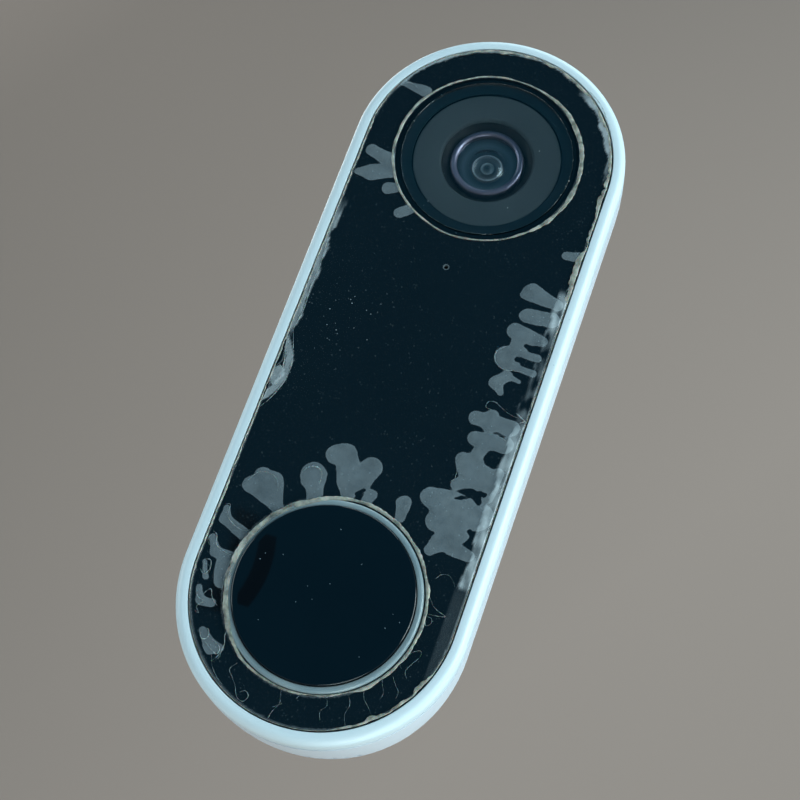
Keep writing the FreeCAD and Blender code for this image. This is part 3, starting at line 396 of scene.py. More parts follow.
# %% Plain finishes
plain_finishes = {
    "white_shell": ("satin_white_shell", (0.75, 0.835, 0.915), (0.70, 0.785, 0.87), 0.42, 2600, 0.004, 0.1),
    "white_rim": ("satin_white_rim", (0.77, 0.93, 1.0), (0.73, 0.89, 0.97), 0.36, 2600, 0.003, 0.12),
    "black_matte": ("matt_black_moulding", (0.016, 0.02, 0.024), (0.008, 0.01, 0.012), 0.55, 3500, 0.006, 0.4),
    "mask_grey": ("grey_camera_mask", (0.088, 0.12, 0.135), (0.07, 0.098, 0.112), 0.62, 6000, 0.004, 0.25),
    "plate_plastic": ("grey_back_moulding", (0.2, 0.215, 0.225), (0.155, 0.165, 0.175), 0.58, 2200, 0.012, 0.3),
    "lens_metal": ("dark_anodised_ring", (0.36, 0.33, 0.44), (0.22, 0.22, 0.30), 0.46, 5000, 0.002, 0.1),
    "seal_rubber": ("black_seal_rubber", (0.008, 0.017, 0.023), (0.005, 0.012, 0.017), 0.5, 2000, 0.006, 0.2),
    "window_seal": ("window_seal_rubber", (0.007, 0.023, 0.034), (0.005, 0.018, 0.028), 0.35, 2000, 0.006, 0.2),
    "lamp_body": ("clear_lamp_resin", (0.75, 0.72, 0.6), (0.6, 0.58, 0.45), 0.3, 2000, 0.006, 0.2),
    "circuit_board": ("green_board_resin", (0.02, 0.16, 0.07), (0.01, 0.1, 0.05), 0.35, 1400, 0.02, 0.2),
    "flex_film": ("amber_ribbon", (0.55, 0.26, 0.06), (0.4, 0.18, 0.04), 0.3, 2000, 0.006, 0.2),
    "soft_pad": ("grey_thermal_pad", (0.42, 0.45, 0.5), (0.34, 0.37, 0.42), 0.8, 2000, 0.006, 0.2),
    "chip_black": ("chip_epoxy", (0.03, 0.03, 0.032), (0.018, 0.018, 0.02), 0.5, 2000, 0.006, 0.2),
    "cell_sleeve": ("blue_cell_sleeve", (0.03, 0.08, 0.22), (0.02, 0.05, 0.15), 0.3, 2000, 0.006, 0.2),
    "speaker_paper": ("black_cone_paper", (0.035, 0.033, 0.03), (0.02, 0.019, 0.018), 0.85, 2000, 0.006, 0.2),
    "grille_cloth": ("grille_mesh_cloth", (0.045, 0.05, 0.055), (0.012, 0.013, 0.015), 0.8, 9000, 0.03, 0.2),
    "shield_steel": ("tinned_steel", (0.66, 0.66, 0.65), (0.5, 0.5, 0.5), 0.33, 1800, 0.006, 0.2),
    "spreader_aluminium": ("rolled_aluminium", (0.78, 0.79, 0.8), (0.64, 0.65, 0.66), 0.4, 900, 0.006, 0.2),
    "magnet_metal": ("nickel_magnet", (0.62, 0.6, 0.56), (0.48, 0.46, 0.43), 0.25, 2000, 0.006, 0.2),
    "spring_steel": ("spring_wire", (0.58, 0.58, 0.57), (0.42, 0.42, 0.42), 0.28, 2000, 0.006, 0.2),
    "screw_steel": ("zinc_plated_steel", (0.62, 0.63, 0.64), (0.44, 0.45, 0.47), 0.3, 1500, 0.01, 0.2),
    "terminal_brass": ("brass_plate", (0.72, 0.52, 0.24), (0.55, 0.38, 0.15), 0.32, 1200, 0.01, 0.2),
}
METALS = ("lens_metal", "shield_steel", "spreader_aluminium", "magnet_metal", "spring_steel",
          "screw_steel", "terminal_brass")
finishes = {slot: finish(name, light, dark, depth, {"Metallic": 1.0} if slot in METALS else None,
                         roughness=rough, grain=grain, dust=dust)
            for slot, (name, light, dark, rough, grain, depth, dust) in plain_finishes.items()}
finishes.update({
    "camera_black": finish("polished_camera_cup", (0.003, 0.009, 0.014), (0.002, 0.007, 0.011), 0.0004,
                           roughness=0.10, spread=0.05, grain=400),
    "black_gloss": finish("black_panel_glass", (0.0022, 0.0062, 0.0100), (0.0016, 0.0048, 0.0080), 0.0004,
                          {"Coat Weight": 0.3, "Coat Roughness": 0.02},
                          roughness=0.045, spread=0.02, grain=400, dust=0.35),
    "button_gloss": finish("black_button_gloss", (0.0022, 0.0060, 0.0098), (0.0014, 0.0040, 0.0070), 0.0003,
                           {"Coat Weight": 0.4, "Coat Roughness": 0.02},
                           roughness=0.025, spread=0.02, grain=300, dust=0.09),
})
print(len(finishes), "plain finishes")

# %% [markdown]
# ## Clear glass and the lens
# The window is plain clear glass, so full transmission with a slight tint is enough. The lens is coated glass
# over a stepped black stack. Thin coatings could be worked out layer by layer, but a colour ramp on the
# distance from the lens axis is quick. It paints the stack in rings of tint, with painted highlights for the
# glints on the lens lips, and it paints the stack lighter than black to stand in for light that the glass holds
# back.

# %% Clear glass and the lens
def clear_glass(name, tint, index):
    """Clear glass: full transmission, a slight tint, and the shared dust on its surface."""
    material, _, _, shader = start_material(name, tint, tuple(0.96 * t for t in tint),
                                            roughness=0.0, spread=0.0, dust=0.06)
    shader.inputs["Transmission Weight"].default_value = 1.0
    shader.inputs["IOR"].default_value = index
    return material


def radius_from_axis(tree, height):
    """Distance in mm from an axis at that height: Object coordinates moved to it and flattened."""
    moved = put(tree, "Mapping", {"Vector": put(tree, "TexCoord").outputs["Object"],
                                  "Location": (0, 0, -height), "Scale": (1 / MM, 0, 1 / MM)},
                vector_type="POINT")
    return put(tree, "VectorMath", {0: moved.outputs["Vector"]}, operation="LENGTH").outputs["Value"]


def ramp(tree, value, stops):
    """A colour ramp from (place, colour) stops."""
    node = put(tree, "ValToRGB", {"Fac": value})
    while len(node.color_ramp.elements) < len(stops):
        node.color_ramp.elements.new(0.5)
    for element, (place, tone) in zip(node.color_ramp.elements, stops):
        element.position, element.color = place, colour(*tone)
    return node.outputs["Color"]


def painted_glint_lens_stack():
    """Black inside the barrel, with darker bands and thin pale rings on the lips, which are painted highlights.
    Every tone is painted lighter than the stack's black would look under the glass, to stand in for light that
    the glass holds back. The ramp runs from the axis to 6 mm out."""
    material, tree, group, shader = start_material("lens_stack_painted_glints", (0.02, 0.03, 0.035),
                                                   (0.01, 0.014, 0.018), roughness=0.14, dust=0.1)
    share = maths(tree, "DIVIDE", radius_from_axis(tree, arc_centre), 6.0)
    # Painted light: the two near-white stops are painted highlights on the lens lips, and all stops are lighter
    # than the stack's black, to make up for light that the glass holds back.
    tint = ramp(tree, share, [(0.0, (0.05, 0.08, 0.085)), (0.10, (0.16, 0.21, 0.22)),
                              (0.175, (0.75, 0.84, 0.86)), (0.20, (0.10, 0.14, 0.15)),
                              (0.33, (0.28, 0.34, 0.36)), (0.385, (0.95, 0.98, 1.0)),
                              (0.41, (0.09, 0.13, 0.15)), (0.60, (0.24, 0.31, 0.34)),
                              (0.76, (0.10, 0.14, 0.16)), (0.80, (0.008, 0.012, 0.016))])
    tree.links.new(blend_colour(tree, group.outputs["Dust"], tint, colour(0.5, 0.55, 0.6)),
                   shader.inputs["Base Color"])
    shader.inputs["Coat Weight"].default_value = 0.3
    shader.inputs["Coat Roughness"].default_value = 0.2
    return material


finishes["camera_glass"] = clear_glass("window_glass", (0.93, 0.97, 0.98), 1.47)
finishes["lens_glass"] = clear_glass("coated_lens_glass", (0.90, 0.96, 1.0), 1.5)
glinting_stack_material = painted_glint_lens_stack()
print("glass for the window and the lens")

# %% [markdown]
# ## Milky plastic
# The light ring is a light pipe. Fine white filler in its plastic lets light in at one place and
# out at another. A glow would make it look switched on, so it scatters light inside itself.

# %% The light ring
def light_ring_finish():
    """Milky plastic that scatters light over about half a millimetre, bluer in its darker tone."""
    material, _, _, shader = start_material("milky_light_ring", (0.34, 0.44, 0.47), (0.20, 0.29, 0.33),
                                            grain=3000, drift=180, roughness=0.24, dust=0.2)
    shader.inputs["Subsurface Weight"].default_value = 0.35
    shader.inputs["Subsurface Radius"].default_value = (0.9, 1.1, 1.3)
    shader.inputs["Subsurface Scale"].default_value = 0.6 * MM
    return material


finishes["light_guide"] = light_ring_finish()
print("milky plastic for the light ring")

# %% [markdown]
# ## Old glue
# The glue was clear once and has aged to cream. Where it is thin it can be seen through, so a
# noise sets its opacity, and a fine bump makes it look crumpled and wet. The beads and the
# hair-thin threads follow one recipe, each with its own colours.

# %% The glue
def glue_finish(name, light, dark, thinnest):
    """Aged clear glue, half clear where it is thin, down to an opacity of thinnest."""
    material, tree, group, shader = start_material(name, light, dark, grain=1500, drift=1000,
                                                   roughness=0.28, spread=0.3, dust=0.3)
    add_bump(tree, shader, group.outputs["Height"], 0.10)
    tree.links.new(mapped(tree, noise(tree, 520.0, 3.0), 0.36, 0.56, thinnest), shader.inputs["Alpha"])
    shader.inputs["Subsurface Weight"].default_value = 0.3
    shader.inputs["Subsurface Scale"].default_value = 0.4 * MM
    return material


finishes["bond_line"] = glue_finish("aged_cream_glue", (0.66, 0.68, 0.60), (0.16, 0.18, 0.16), 0.35)
thread_finish = glue_finish("drawn_glue_thread", (0.46, 0.55, 0.57), (0.16, 0.21, 0.23), 0.15)
print("glue for the beads and the threads")

# %% [markdown]
# ## Film that is coming away
# Where the film still sticks it can hardly be seen; where it has let go, light scatters under it
# and it turns pale. A painted picture could say where, but numbers kept on the film's own points
# stay sharp at any distance, so the finish reads four such attributes.

# %% The film
def film_finish():
    """Opacity is a sum: lifted patches with a painted highlight along their outline, whitened strips along the
    edges, a thin pale cut edge, and dust."""
    material, tree, group, shader = start_material(
        "clear_film_lifting", (0.33, 0.41, 0.45), (0.26, 0.34, 0.39), grain=1800, drift=500,
        roughness=0.20, spread=0.2, dust=2.4)
    residue, whitened, cut_edge, specks = (put(tree, "Attribute", attribute_name=name).outputs["Fac"]
                                           for name in ("residue", "whitened", "cut_edge", "specks"))
    inside_patch = mapped(tree, residue, 0.02, -0.03)
    # A painted highlight: the film turns paler and more opaque in a thin band along each patch's outline, where
    # a lifted edge would catch the light.
    outline = mapped(tree, maths(tree, "ABSOLUTE", residue), 0.09, 0.0)
    streaks = noise(tree, 420.0, 5.0, Roughness=0.65)
    cloudy = mapped(tree, streaks, 0.3, 0.7, 0.62, 1.2)
    dots = times(tree, group.outputs["Dust"], specks)
    alpha = added(tree, times(tree, inside_patch, 0.33, cloudy), times(tree, outline, 0.12),
                  times(tree, whitened, cloudy), times(tree, cut_edge, 0.22), times(tree, dots, 0.9), 0.004)
    tree.links.new(alpha, shader.inputs["Alpha"])
    pale = added(tree, times(tree, whitened, 1.1), times(tree, dots, 0.8))
    tree.links.new(blend_colour(tree, pale, group.outputs["Color"], colour(0.66, 0.76, 0.80)),
                   shader.inputs["Base Color"])
    add_bump(tree, shader, streaks, 0.03, 0.6)
    return material


finishes["clear_film"] = film_finish()
print(len(finishes), "finishes in all")

# %% [markdown]
# ## Every measured solid gets its finish
# The record names a material slot for each solid, so the finishes are handed out by that list. Two
# black pieces round the window are smoother than the rest of their slot.

# %% Give every measured solid its finish
slot_of = {row["node"]: row["material_slot"] for row in frame["record"]["subparts"]}
smoother = {"window_gasket": "window_seal", "camera_housing": "camera_black"}
for node, solid in frame["nodes"].items():
    solid.data.materials.clear()
    solid.data.materials.append(finishes[smoother.get(node, slot_of[node])])
    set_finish(solid, slot_of[node])
print("painted", len(frame["nodes"]), "solids")


def dress(piece, material=None):
    """Puts a finish on a new piece: the one of its slot, unless another is given."""
    piece.data.materials.append(material or finishes[piece["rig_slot"]])
    return piece

# %% [markdown]
# ## The rim
# The rim is a bright ring round the panel: a flat front, a softened slope outside it, a short
# straight side, then a dark shadow groove where it meets the side shell. One profile is carried
# round the outline, so the slope stays the same all the way.

# %% Rim
PANEL_TO_RIM, RIM_DEPTH = 0.33, 3.4
rim_inner, rim_back = film_half + PANEL_TO_RIM, front_plane - RIM_DEPTH
dress(carried("front_rim", [
    (half_width - 0.25, rim_back, 0.10),
    (half_width, rim_back + 0.35, 0.12),
    (half_width, front_plane - 0.75, 0.5),
    (half_width - 0.75, front_plane, 0.5),
    (rim_inner, front_plane, 0.12),
    (rim_inner, rim_back, 0),
], "white_rim", stands_for=["front_bezel"]))

# %% [markdown]
# ## The film and its glue fingers
# The film is a flat sheet cut round the window and the button. It is a grid of small squares, kept
# where the distance says film, with the outermost points moved onto the cut line. Where the glue
# has let go, the film stands up by a few hundredths, and this relief is real shape. The distance to
# each glue finger is also kept as an attribute, so the finish draws it with a sharp, uneven edge.
# A stroke is (x, z, radius) of its first end and the same of its second; dark gaps cut the fingers.

# %% Where the glue fingers lie, in mm from the middle of the front
around_camera = [
    (-17.6, 33.0, 1.0, -15.6, 32.4, 0.9), (-15.6, 32.4, 0.9, -13.6, 32.4, 1.0),
    (-18.4, 28.8, 0.6, -16.4, 29.2, 1.2), (-16.4, 29.2, 1.2, -13.2, 30.6, 1.3),
    (-12.9, 27.3, 1.0, -11.8, 27.8, 0.8), (-9.8, 23.8, 0.9, -8.2, 25.3, 0.9),
    (-17.2, 46.0, 0.5, -12.8, 45.4, 0.9),
]
around_button = [
    (-15.8, -24.6, 1.4, -13.6, -24.6, 1.9), (-14.7, -22.8, 1.3, -13.2, -23.6, 1.9),
    (-13.2, -24.6, 2.0, -10.7, -27.0, 0.8),
    (-7.7, -20.5, 1.95, -7.5, -21.0, 1.85), (-7.2, -21.4, 1.4, -6.3, -24.0, 1.1),
    (-5.6, -16.5, 1.5, -4.2, -15.8, 1.4), (-4.2, -16.0, 1.5, -2.4, -19.4, 1.9),
    (0.0, -16.8, 1.6, -0.9, -19.4, 1.7), (-2.2, -19.4, 2.0, -1.8, -22.2, 0.9),
    (1.4, -20.8, 0.9, 0.9, -22.4, 0.8), (6.3, -20.5, 1.1, 6.5, -22.8, 0.7),
    (-18.0, -29.2, 0.5, -17.6, -30.8, 0.7), (-17.6, -30.8, 0.7, -13.4, -32.4, 0.9),
    (-18.4, -33.8, 0.5, -17.2, -35.8, 0.7), (-17.2, -35.8, 0.7, -14.2, -36.0, 0.9),
    (-15.2, -37.2, 1.3, -14.7, -39.4, 1.3), (-18.2, -37.6, 0.3, -17.2, -39.8, 0.4),
    (-17.5, -41.4, 0.4, -16.6, -43.2, 0.6), (-16.6, -43.2, 0.6, -14.9, -43.1, 0.6),
    (-14.7, -47.2, 0.5, -12.7, -49.1, 0.9), (-12.8, -49.0, 0.8, -11.4, -48.8, 0.5),
]
down_the_right = [
    (13.7, 17.0, 1.4, 18.0, 16.0, 0.9), (12.8, 16.3, 0.6, 13.6, 16.6, 1.0),
    (14.2, 13.1, 1.1, 18.0, 13.4, 1.2), (13.3, 10.2, 1.3, 17.7, 9.7, 0.8),
    (14.2, 8.2, 1.0, 15.4, 8.8, 1.0), (13.6, 5.7, 2.0, 14.8, 6.6, 1.4),
    (15.5, 6.8, 0.6, 17.8, 6.9, 0.6), (15.4, 4.6, 0.4, 17.8, 4.3, 0.6),
    (14.2, 2.7, 0.8, 13.1, 1.4, 0.9), (13.1, 1.4, 0.9, 14.2, 0.1, 0.5), (14.6, 2.9, 0.5, 16.3, 2.6, 0.3),
    (12.1, -4.8, 1.1, 17.6, -4.8, 1.2), (14.2, -3.6, 0.8, 14.4, -5.4, 1.0),
    (13.0, -7.9, 1.1, 17.4, -7.6, 1.3), (14.1, -9.8, 0.9, 14.8, -8.4, 1.0),
    (12.1, -11.5, 1.0, 13.8, -12.4, 2.0), (13.8, -12.4, 2.0, 16.2, -13.6, 1.9),
    (17.8, -12.2, 0.9, 17.6, -16.0, 0.9), (12.6, -15.4, 0.8, 14.0, -14.6, 1.0),
    (9.7, -18.4, 1.5, 12.6, -19.0, 2.4), (12.6, -19.0, 2.4, 17.2, -19.2, 2.1),
    (11.8, -21.6, 1.7, 15.4, -22.4, 1.5), (13.5, -24.0, 1.7, 12.2, -25.9, 0.9),
    (14.8, -24.8, 1.0, 17.6, -25.2, 0.9), (16.9, 24.3, 0.7, 18.8, 24.7, 0.8),
]
dark_gaps = [
    (16.0, 14.9, 0.35, 17.3, 14.8, 0.35), (15.9, 11.5, 0.55, 17.0, 11.5, 0.75),
    (15.6, 8.4, 0.35, 17.3, 8.1, 0.6), (15.0, 5.9, 0.5, 17.0, 5.8, 0.45),
    (15.2, 3.4, 0.2, 17.4, 3.0, 0.4), (15.2, 0.6, 0.3, 17.2, 1.2, 0.5),
    (15.6, -6.3, 0.12, 17.0, -6.6, 0.16), (14.6, -17.0, 0.25, 15.4, -16.2, 0.2),
    (16.2, -10.4, 1.0, 17.2, -10.4, 0.9), (15.4, -16.3, 0.5, 16.6, -17.2, 0.4),
    (14.0, -17.2, 0.4, 13.2, -17.5, 0.2), (16.2, -15.6, 0.3, 17.0, -15.8, 0.4),
    (-0.8, -21.3, 0.3, 0.2, -20.4, 0.3), (16.7, -21.6, 0.4, 17.3, -22.2, 0.4),
    (10.9, -24.3, 0.5, 11.8, -23.6, 0.3),
]
peeled_bite = [(-19.9, -1.8, 0.9, -19.7, -4.6, 1.1), (-19.9, -9.4, 0.9, -19.8, -11.4, 0.7),
               (-19.7, -5.0, 0.8, -19.5, -6.4, 0.4)]
print(len(around_camera) + len(around_button) + len(down_the_right), "strokes of glue")

# %% [markdown]
# ## The sheet
# A flat sheet could be cut with Boolean tools, but their edges shade badly. Here one distance says
# where there is film, the grid squares inside it are kept, and only the outermost points move, so
# the cut line is smooth and the squares stay even.

# %% Distances of the film, and a sheet cut along one
def residue_gap(x, z):
    """Distance to the nearest glue finger, after the places are shifted by two ripples."""
    shifted_x = x + 0.06 * ripple(x, z, 3.6, 4) + 0.018 * ripple(x, z, 1.1, 5)
    shifted_z = z + 0.06 * ripple(x, z, 3.6, 6) + 0.018 * ripple(x, z, 1.1, 7)
    fingers = melted(shifted_x, shifted_z, around_camera + around_button + down_the_right)
    gaps = melted(shifted_x, shifted_z, dark_gaps, 0.12)
    return np.maximum(fingers, -gaps)


def film_gap(x, z):
    """Distance outside the film: its outline, the two round holes, the microphone's hole, and a
    bite on the left where a strip of it has peeled away."""
    microphone = np.hypot(x, z - microphone_z) - 0.5
    return np.max([capsule_gap(x, z, film_half), camera_hole - np.hypot(x, z - arc_centre),
                   button_hole - np.hypot(x, z + arc_centre), -melted(x, z, peeled_bite, 0.15),
                   -microphone], axis=0)


def flat_sheet(gap, spacing):
    """Grid squares whose middle lies inside, with their outer points moved onto the edge along
    the distance's slope. Returns x, z and the faces."""
    side = np.arange(-half_width, half_width + spacing, spacing)
    tall = np.arange(-arc_centre - half_width, arc_centre + half_width + spacing, spacing)
    x, z = (a.ravel() for a in np.meshgrid(side, tall, indexing="ij"))
    faces = grid_faces(len(side), len(tall), False, False)
    faces = faces[gap(x[faces].mean(1), z[faces].mean(1)) < 0]
    used, faces = np.unique(faces, return_inverse=True)
    faces, x, z = faces.reshape(-1, 4), x[used], z[used]
    outer = np.bincount(faces.ravel(), minlength=len(x)) < 4
    nudge = 0.01
    for _ in range(3):
        away = gap(x, z)
        slope_x = (gap(x + nudge, z) - away) / nudge
        slope_z = (gap(x, z + nudge) - away) / nudge
        steep = slope_x ** 2 + slope_z ** 2 + 1e-6
        x = np.where(outer, x - away * slope_x / steep, x)
        z = np.where(outer, z - away * slope_z / steep, z)
    return x, z, faces


film_x, film_z, film_faces = flat_sheet(film_gap, 0.25)
residue = residue_gap(film_x, film_z)
inside_edge = -capsule_gap(film_x, film_z, film_half)
print("a sheet of", len(film_faces), "squares")

# %% [markdown]
# ## Where the film has turned white
# Along its edges the film has creased: a strip on the right, one on the left with a bowed blister
# and a lump of glue, and lines round the upper end. Each is a product of smooth steps between two
# places in mm, and a ripple makes its edge wander.

# %% Whitened strips, relief and dust
fine_edge = 0.07 * ripple(film_x, film_z, 1.8, 13) + 0.22 * ripple(film_x, film_z, 5.0, 16)
right_strip = (step(film_x + fine_edge, 17.65, 17.9) * step(film_z, -30.5, -29.5)
               * step(-film_z, -19, -17))
right_tone = (0.05 + 0.42 * step(-film_z, 3, 5) + 0.34 * step(film_z, 10, 12)
              + 0.14 * ripple(film_x * 2.5, film_z, 4, 11))
left_strip = (step(1.0 + fine_edge - inside_edge, 0.0, 0.15) * step(-film_x, 15, 17)
              * step(film_z, -1, 1) * step(-film_z, -24, -20))
left_tone = 0.40 + 0.10 * ripple(film_x * 4, film_z, 3, 12)
bow = np.abs(np.hypot(film_x + 24.6, film_z + 6.2) - 7.25 + 0.2 * fine_edge)
blister = step(0.62 - bow, 0.0, 0.12) * step(-film_z, 0, 1) * step(film_z, -13, -11.5)
lump = step(1.0 - np.hypot((film_x + 18.5) / 0.9, (film_z + 7.4) / 1.6) + fine_edge, 0.0, 0.2)
upper_right = (step(0.95 + fine_edge - inside_edge, 0.0, 0.12) * step(film_x, 10, 12.5)
               * step(film_z, 37, 44))
upper_left = (step(0.30 + 0.6 * fine_edge - inside_edge, 0.0, 0.1) * step(film_z, 44, 48)
              * step(12 - film_x, 0, 2))
lower_right_haze = step(film_x, 17.3, 17.6) * step(-film_z, 29, 31)
whitened = np.clip(right_strip * right_tone + left_strip * left_tone + 0.44 * blister + 0.5 * lump
                   + 0.58 * upper_right + 0.50 * upper_left + 0.05 * lower_right_haze, 0, 0.75)
lift = 0.05 * step(-residue, 0.0, 0.35) + 0.10 * whitened * (1 + 0.4 * ripple(film_x, film_z, 1.7, 15))
dusty = 0.13 + 0.87 * np.exp(-((film_x + 11) / 5) ** 2 - ((film_z - 5) / 3.5) ** 2)
cut_line = step(film_gap(film_x, film_z), -0.22, 0.0)
cut_line[np.hypot(film_x, film_z - microphone_z) < 1.5] = 0
print("film lifts by up to", round(float(lift.max()), 2), "mm")

# %% [markdown]
# ## The film's mesh
# The points are raised by the relief, and Solidify gives the sheet most of its real thickness,
# inwards from that surface.

# %% The film
film = make_piece("lifting_film", to_frame(film_x, front_plane + lift, film_z), film_faces, "clear_film",
                  stands_for=["clear_film"], sharp=180, solid=False)
if film.data.polygons[0].normal.y > 0:
    film.data.flip_normals()
for name, values in (("residue", residue), ("whitened", whitened), ("cut_edge", cut_line), ("specks", dusty)):
    film.data.attributes.new(name, "FLOAT", "POINT").data.foreach_set("value", values.astype(np.float32))
thick = film.modifiers.new("thickness", "SOLIDIFY")
thick.thickness, thick.offset = 0.8 * film_thickness * MM, -1
dress(film)

# %% [markdown]
# ## Glue lines
# Round both holes and along the rim the old glue stands up as an uneven cream bead. A bead is a
# rounded cross-section carried along a line, and its width follows a ripple, so it swells and
# nearly vanishes as squeezed-out glue does.

# %% A bead along a closed line
def bead(name, line_x, line_z, width, rise, base=0.01):
    """A closed bead: at each place of the line, an upright ellipse of that width and rise lies
    across the line, its middle held at base above the film."""
    turn = np.linspace(0, 2 * np.pi, 10, endpoint=False)[None, :]
    along_x, along_z = np.gradient(line_x), np.gradient(line_z)
    along_x[[0, -1]] = (line_x[1] - line_x[-1]) / 2, (line_x[0] - line_x[-2]) / 2
    along_z[[0, -1]] = (line_z[1] - line_z[-1]) / 2, (line_z[0] - line_z[-2]) / 2
    length = np.hypot(along_x, along_z)
    across_x, across_z = (along_z / length)[:, None], (-along_x / length)[:, None]
    reach_out = width[:, None] / 2 * np.cos(turn)
    out = front_plane + np.broadcast_to(base, width.shape)[:, None] + rise[:, None] * np.sin(turn)
    points = to_frame(line_x[:, None] + reach_out * across_x, out, line_z[:, None] + reach_out * across_z)
    return dress(make_piece(name, points, grid_faces(len(line_x), turn.size, True, True), "bond_line",
                            sharp=180))


angle = np.linspace(0, 2 * np.pi, 420, endpoint=False)
cosine, sine = np.cos(angle), np.sin(angle)


def round_ripple(size, seed):
    """A ripple read once round a circle of 14 mm."""
    return ripple(cosine * 14, sine * 14, size, seed)

# %% [markdown]
# ### Round the camera and the button
# The camera's bead is thin, and wider where the glue was squeezed out on its right and far left.
# The button's is wide and high on its left and nearly gone at the bottom.

# %% Beads round the two holes
to_right, far_left = step(np.cos(angle - 0.15), 0.35, 0.95), step(-cosine, 0.6, 0.95)
lumps = 0.5 * round_ripple(0.9, 21) + round_ripple(3.4, 23)
width = 0.24 + 0.42 * to_right + 0.16 * far_left + 0.09 * lumps * (0.7 + to_right)
radius = camera_hole + 0.10 + 0.30 * to_right + 0.15 * far_left + 0.05 * round_ripple(5.0, 22)
bead("camera_glue", radius * cosine, arc_centre + radius * sine, np.clip(width, 0.08, 0.8),
     np.clip(0.08 + 0.05 * to_right + 0.03 * lumps, 0.03, 0.2))

to_left = step(np.cos(angle - np.radians(165)), 0.25, 0.75)
to_bottom = step(np.cos(angle - np.radians(275)), 0.75, 0.95)
lumps = 0.4 * round_ripple(0.8, 24) + round_ripple(3.4, 26)
width = 0.50 + 0.42 * to_left - 0.25 * to_bottom + 0.10 * lumps
radius = button_hole + 0.12 - 0.68 * to_left - 0.22 * to_bottom + 0.04 * lumps
bead("button_glue", radius * cosine, -arc_centre + radius * sine, np.clip(width, 0.12, 1.0),
     np.clip(0.13 + 0.13 * to_left + 0.03 * lumps, 0.05, 0.32), base=0.03 + 0.30 * to_left)

# %% [markdown]
# ### Along the rim
# Here the glue comes and goes, so a presence between 0 and 1 along the line scales its width: full
# at the lower right and the upper end, in knots down the right, and faint on the left.

# %% Bead along the rim
walk_cos, walk_sin, spine = outline_walk(220, 260)
edge = film_half + 0.1
line_x, line_z = edge * walk_cos, spine + edge * walk_sin
far_right = step(line_x, 18, 19)
lower_right = step(line_x, 6, 12) * step(-line_z, 40, 46)
upper = step(line_z, 38, 46) * step(line_x, -14, -8)
right_knots = far_right * step(line_z, 16, 18) + 0.7 * far_right * step(
    ripple(line_x, line_z, 7, 27), 0.4, 0.9) * step(line_z, -6, 0)
presence = np.clip(lower_right + upper + right_knots + step(-line_x, 18, 19) * 0.4, 0, 1)
lumps = 0.6 * ripple(line_x, line_z, 1.3, 28) + ripple(line_x, line_z, 4.0, 29)
thick_patch = far_right * step(line_z, 15, 18) * step(-line_z, -27, -24)
width = 0.06 + presence * (0.36 + 0.16 * lumps) + 0.35 * thick_patch
inset = 0.2 * presence * (1 + 0.6 * lumps) + 0.15 * thick_patch
bead("rim_glue", (edge - inset) * walk_cos, spine + (edge - inset) * walk_sin,
     np.clip(width, 0.05, 0.9), np.clip(0.04 + 0.09 * presence, 0.03, 0.2))

# %% [markdown]
# ## Hair-thin threads of glue
# Between the fingers the glue has pulled into threads and small loops. They are thinner than the
# film's grid, so they are real round threads: a few places each, joined by a smooth curve that
# passes through all of them, and a small circle carried along it.

# %% A smooth line and a thread along it
def smooth_line(places, steps=9):
    """A Catmull-Rom curve: each span is half of (2b + (c-a)t + (2a-5b+4c-d)t^2 + (3b-a-3c+d)t^3)."""
    p = np.array([places[0], *places, places[-1]], float)
    t = np.linspace(0, 1, steps, endpoint=False)[:, None]
    a, b, c, d = (p[i:len(p) - 3 + i, None, :] for i in range(4))
    spans = 0.5 * (2 * b + (c - a) * t + (2 * a - 5 * b + 4 * c - d) * t ** 2
                   + (3 * b - a - 3 * c + d) * t ** 3)
    return np.concatenate([spans.reshape(-1, 2), p[-1:]])


def thread(path):
    """Points and faces of one round thread that tapers to nothing at both ends."""
    radius, line = path[0], smooth_line(np.reshape(path[1:], (-1, 2)))
    way = np.gradient(line, axis=0)
    way /= np.linalg.norm(way, axis=1, keepdims=True) + 1e-9
    share = np.linspace(0, 1, len(line))
    knots = 0.75 + 0.5 * ripple(line[:, 0], line[:, 1], 0.8, 31)
    thin = radius * np.sqrt(np.clip(np.sin(np.pi * share), 0, 1)) * np.clip(knots, 0.3, 2.2) + 0.004
    turn = np.linspace(0, 2 * np.pi, 6, endpoint=False)[None, :]
    across = thin[:, None] * np.cos(turn)
    points = to_frame(line[:, :1] + across * way[:, 1:], front_plane + 0.03 + thin[:, None] * np.sin(turn),
                      line[:, 1:] - across * way[:, :1])
    return points.reshape(-1, 3), grid_faces(len(line), turn.size, False, True)

# %% [markdown]
# ### Where the threads run
# Most lie round the button, where the film was pulled hardest. A path is the thread's radius, then
# x and z of each place, in mm. All threads together are one piece.

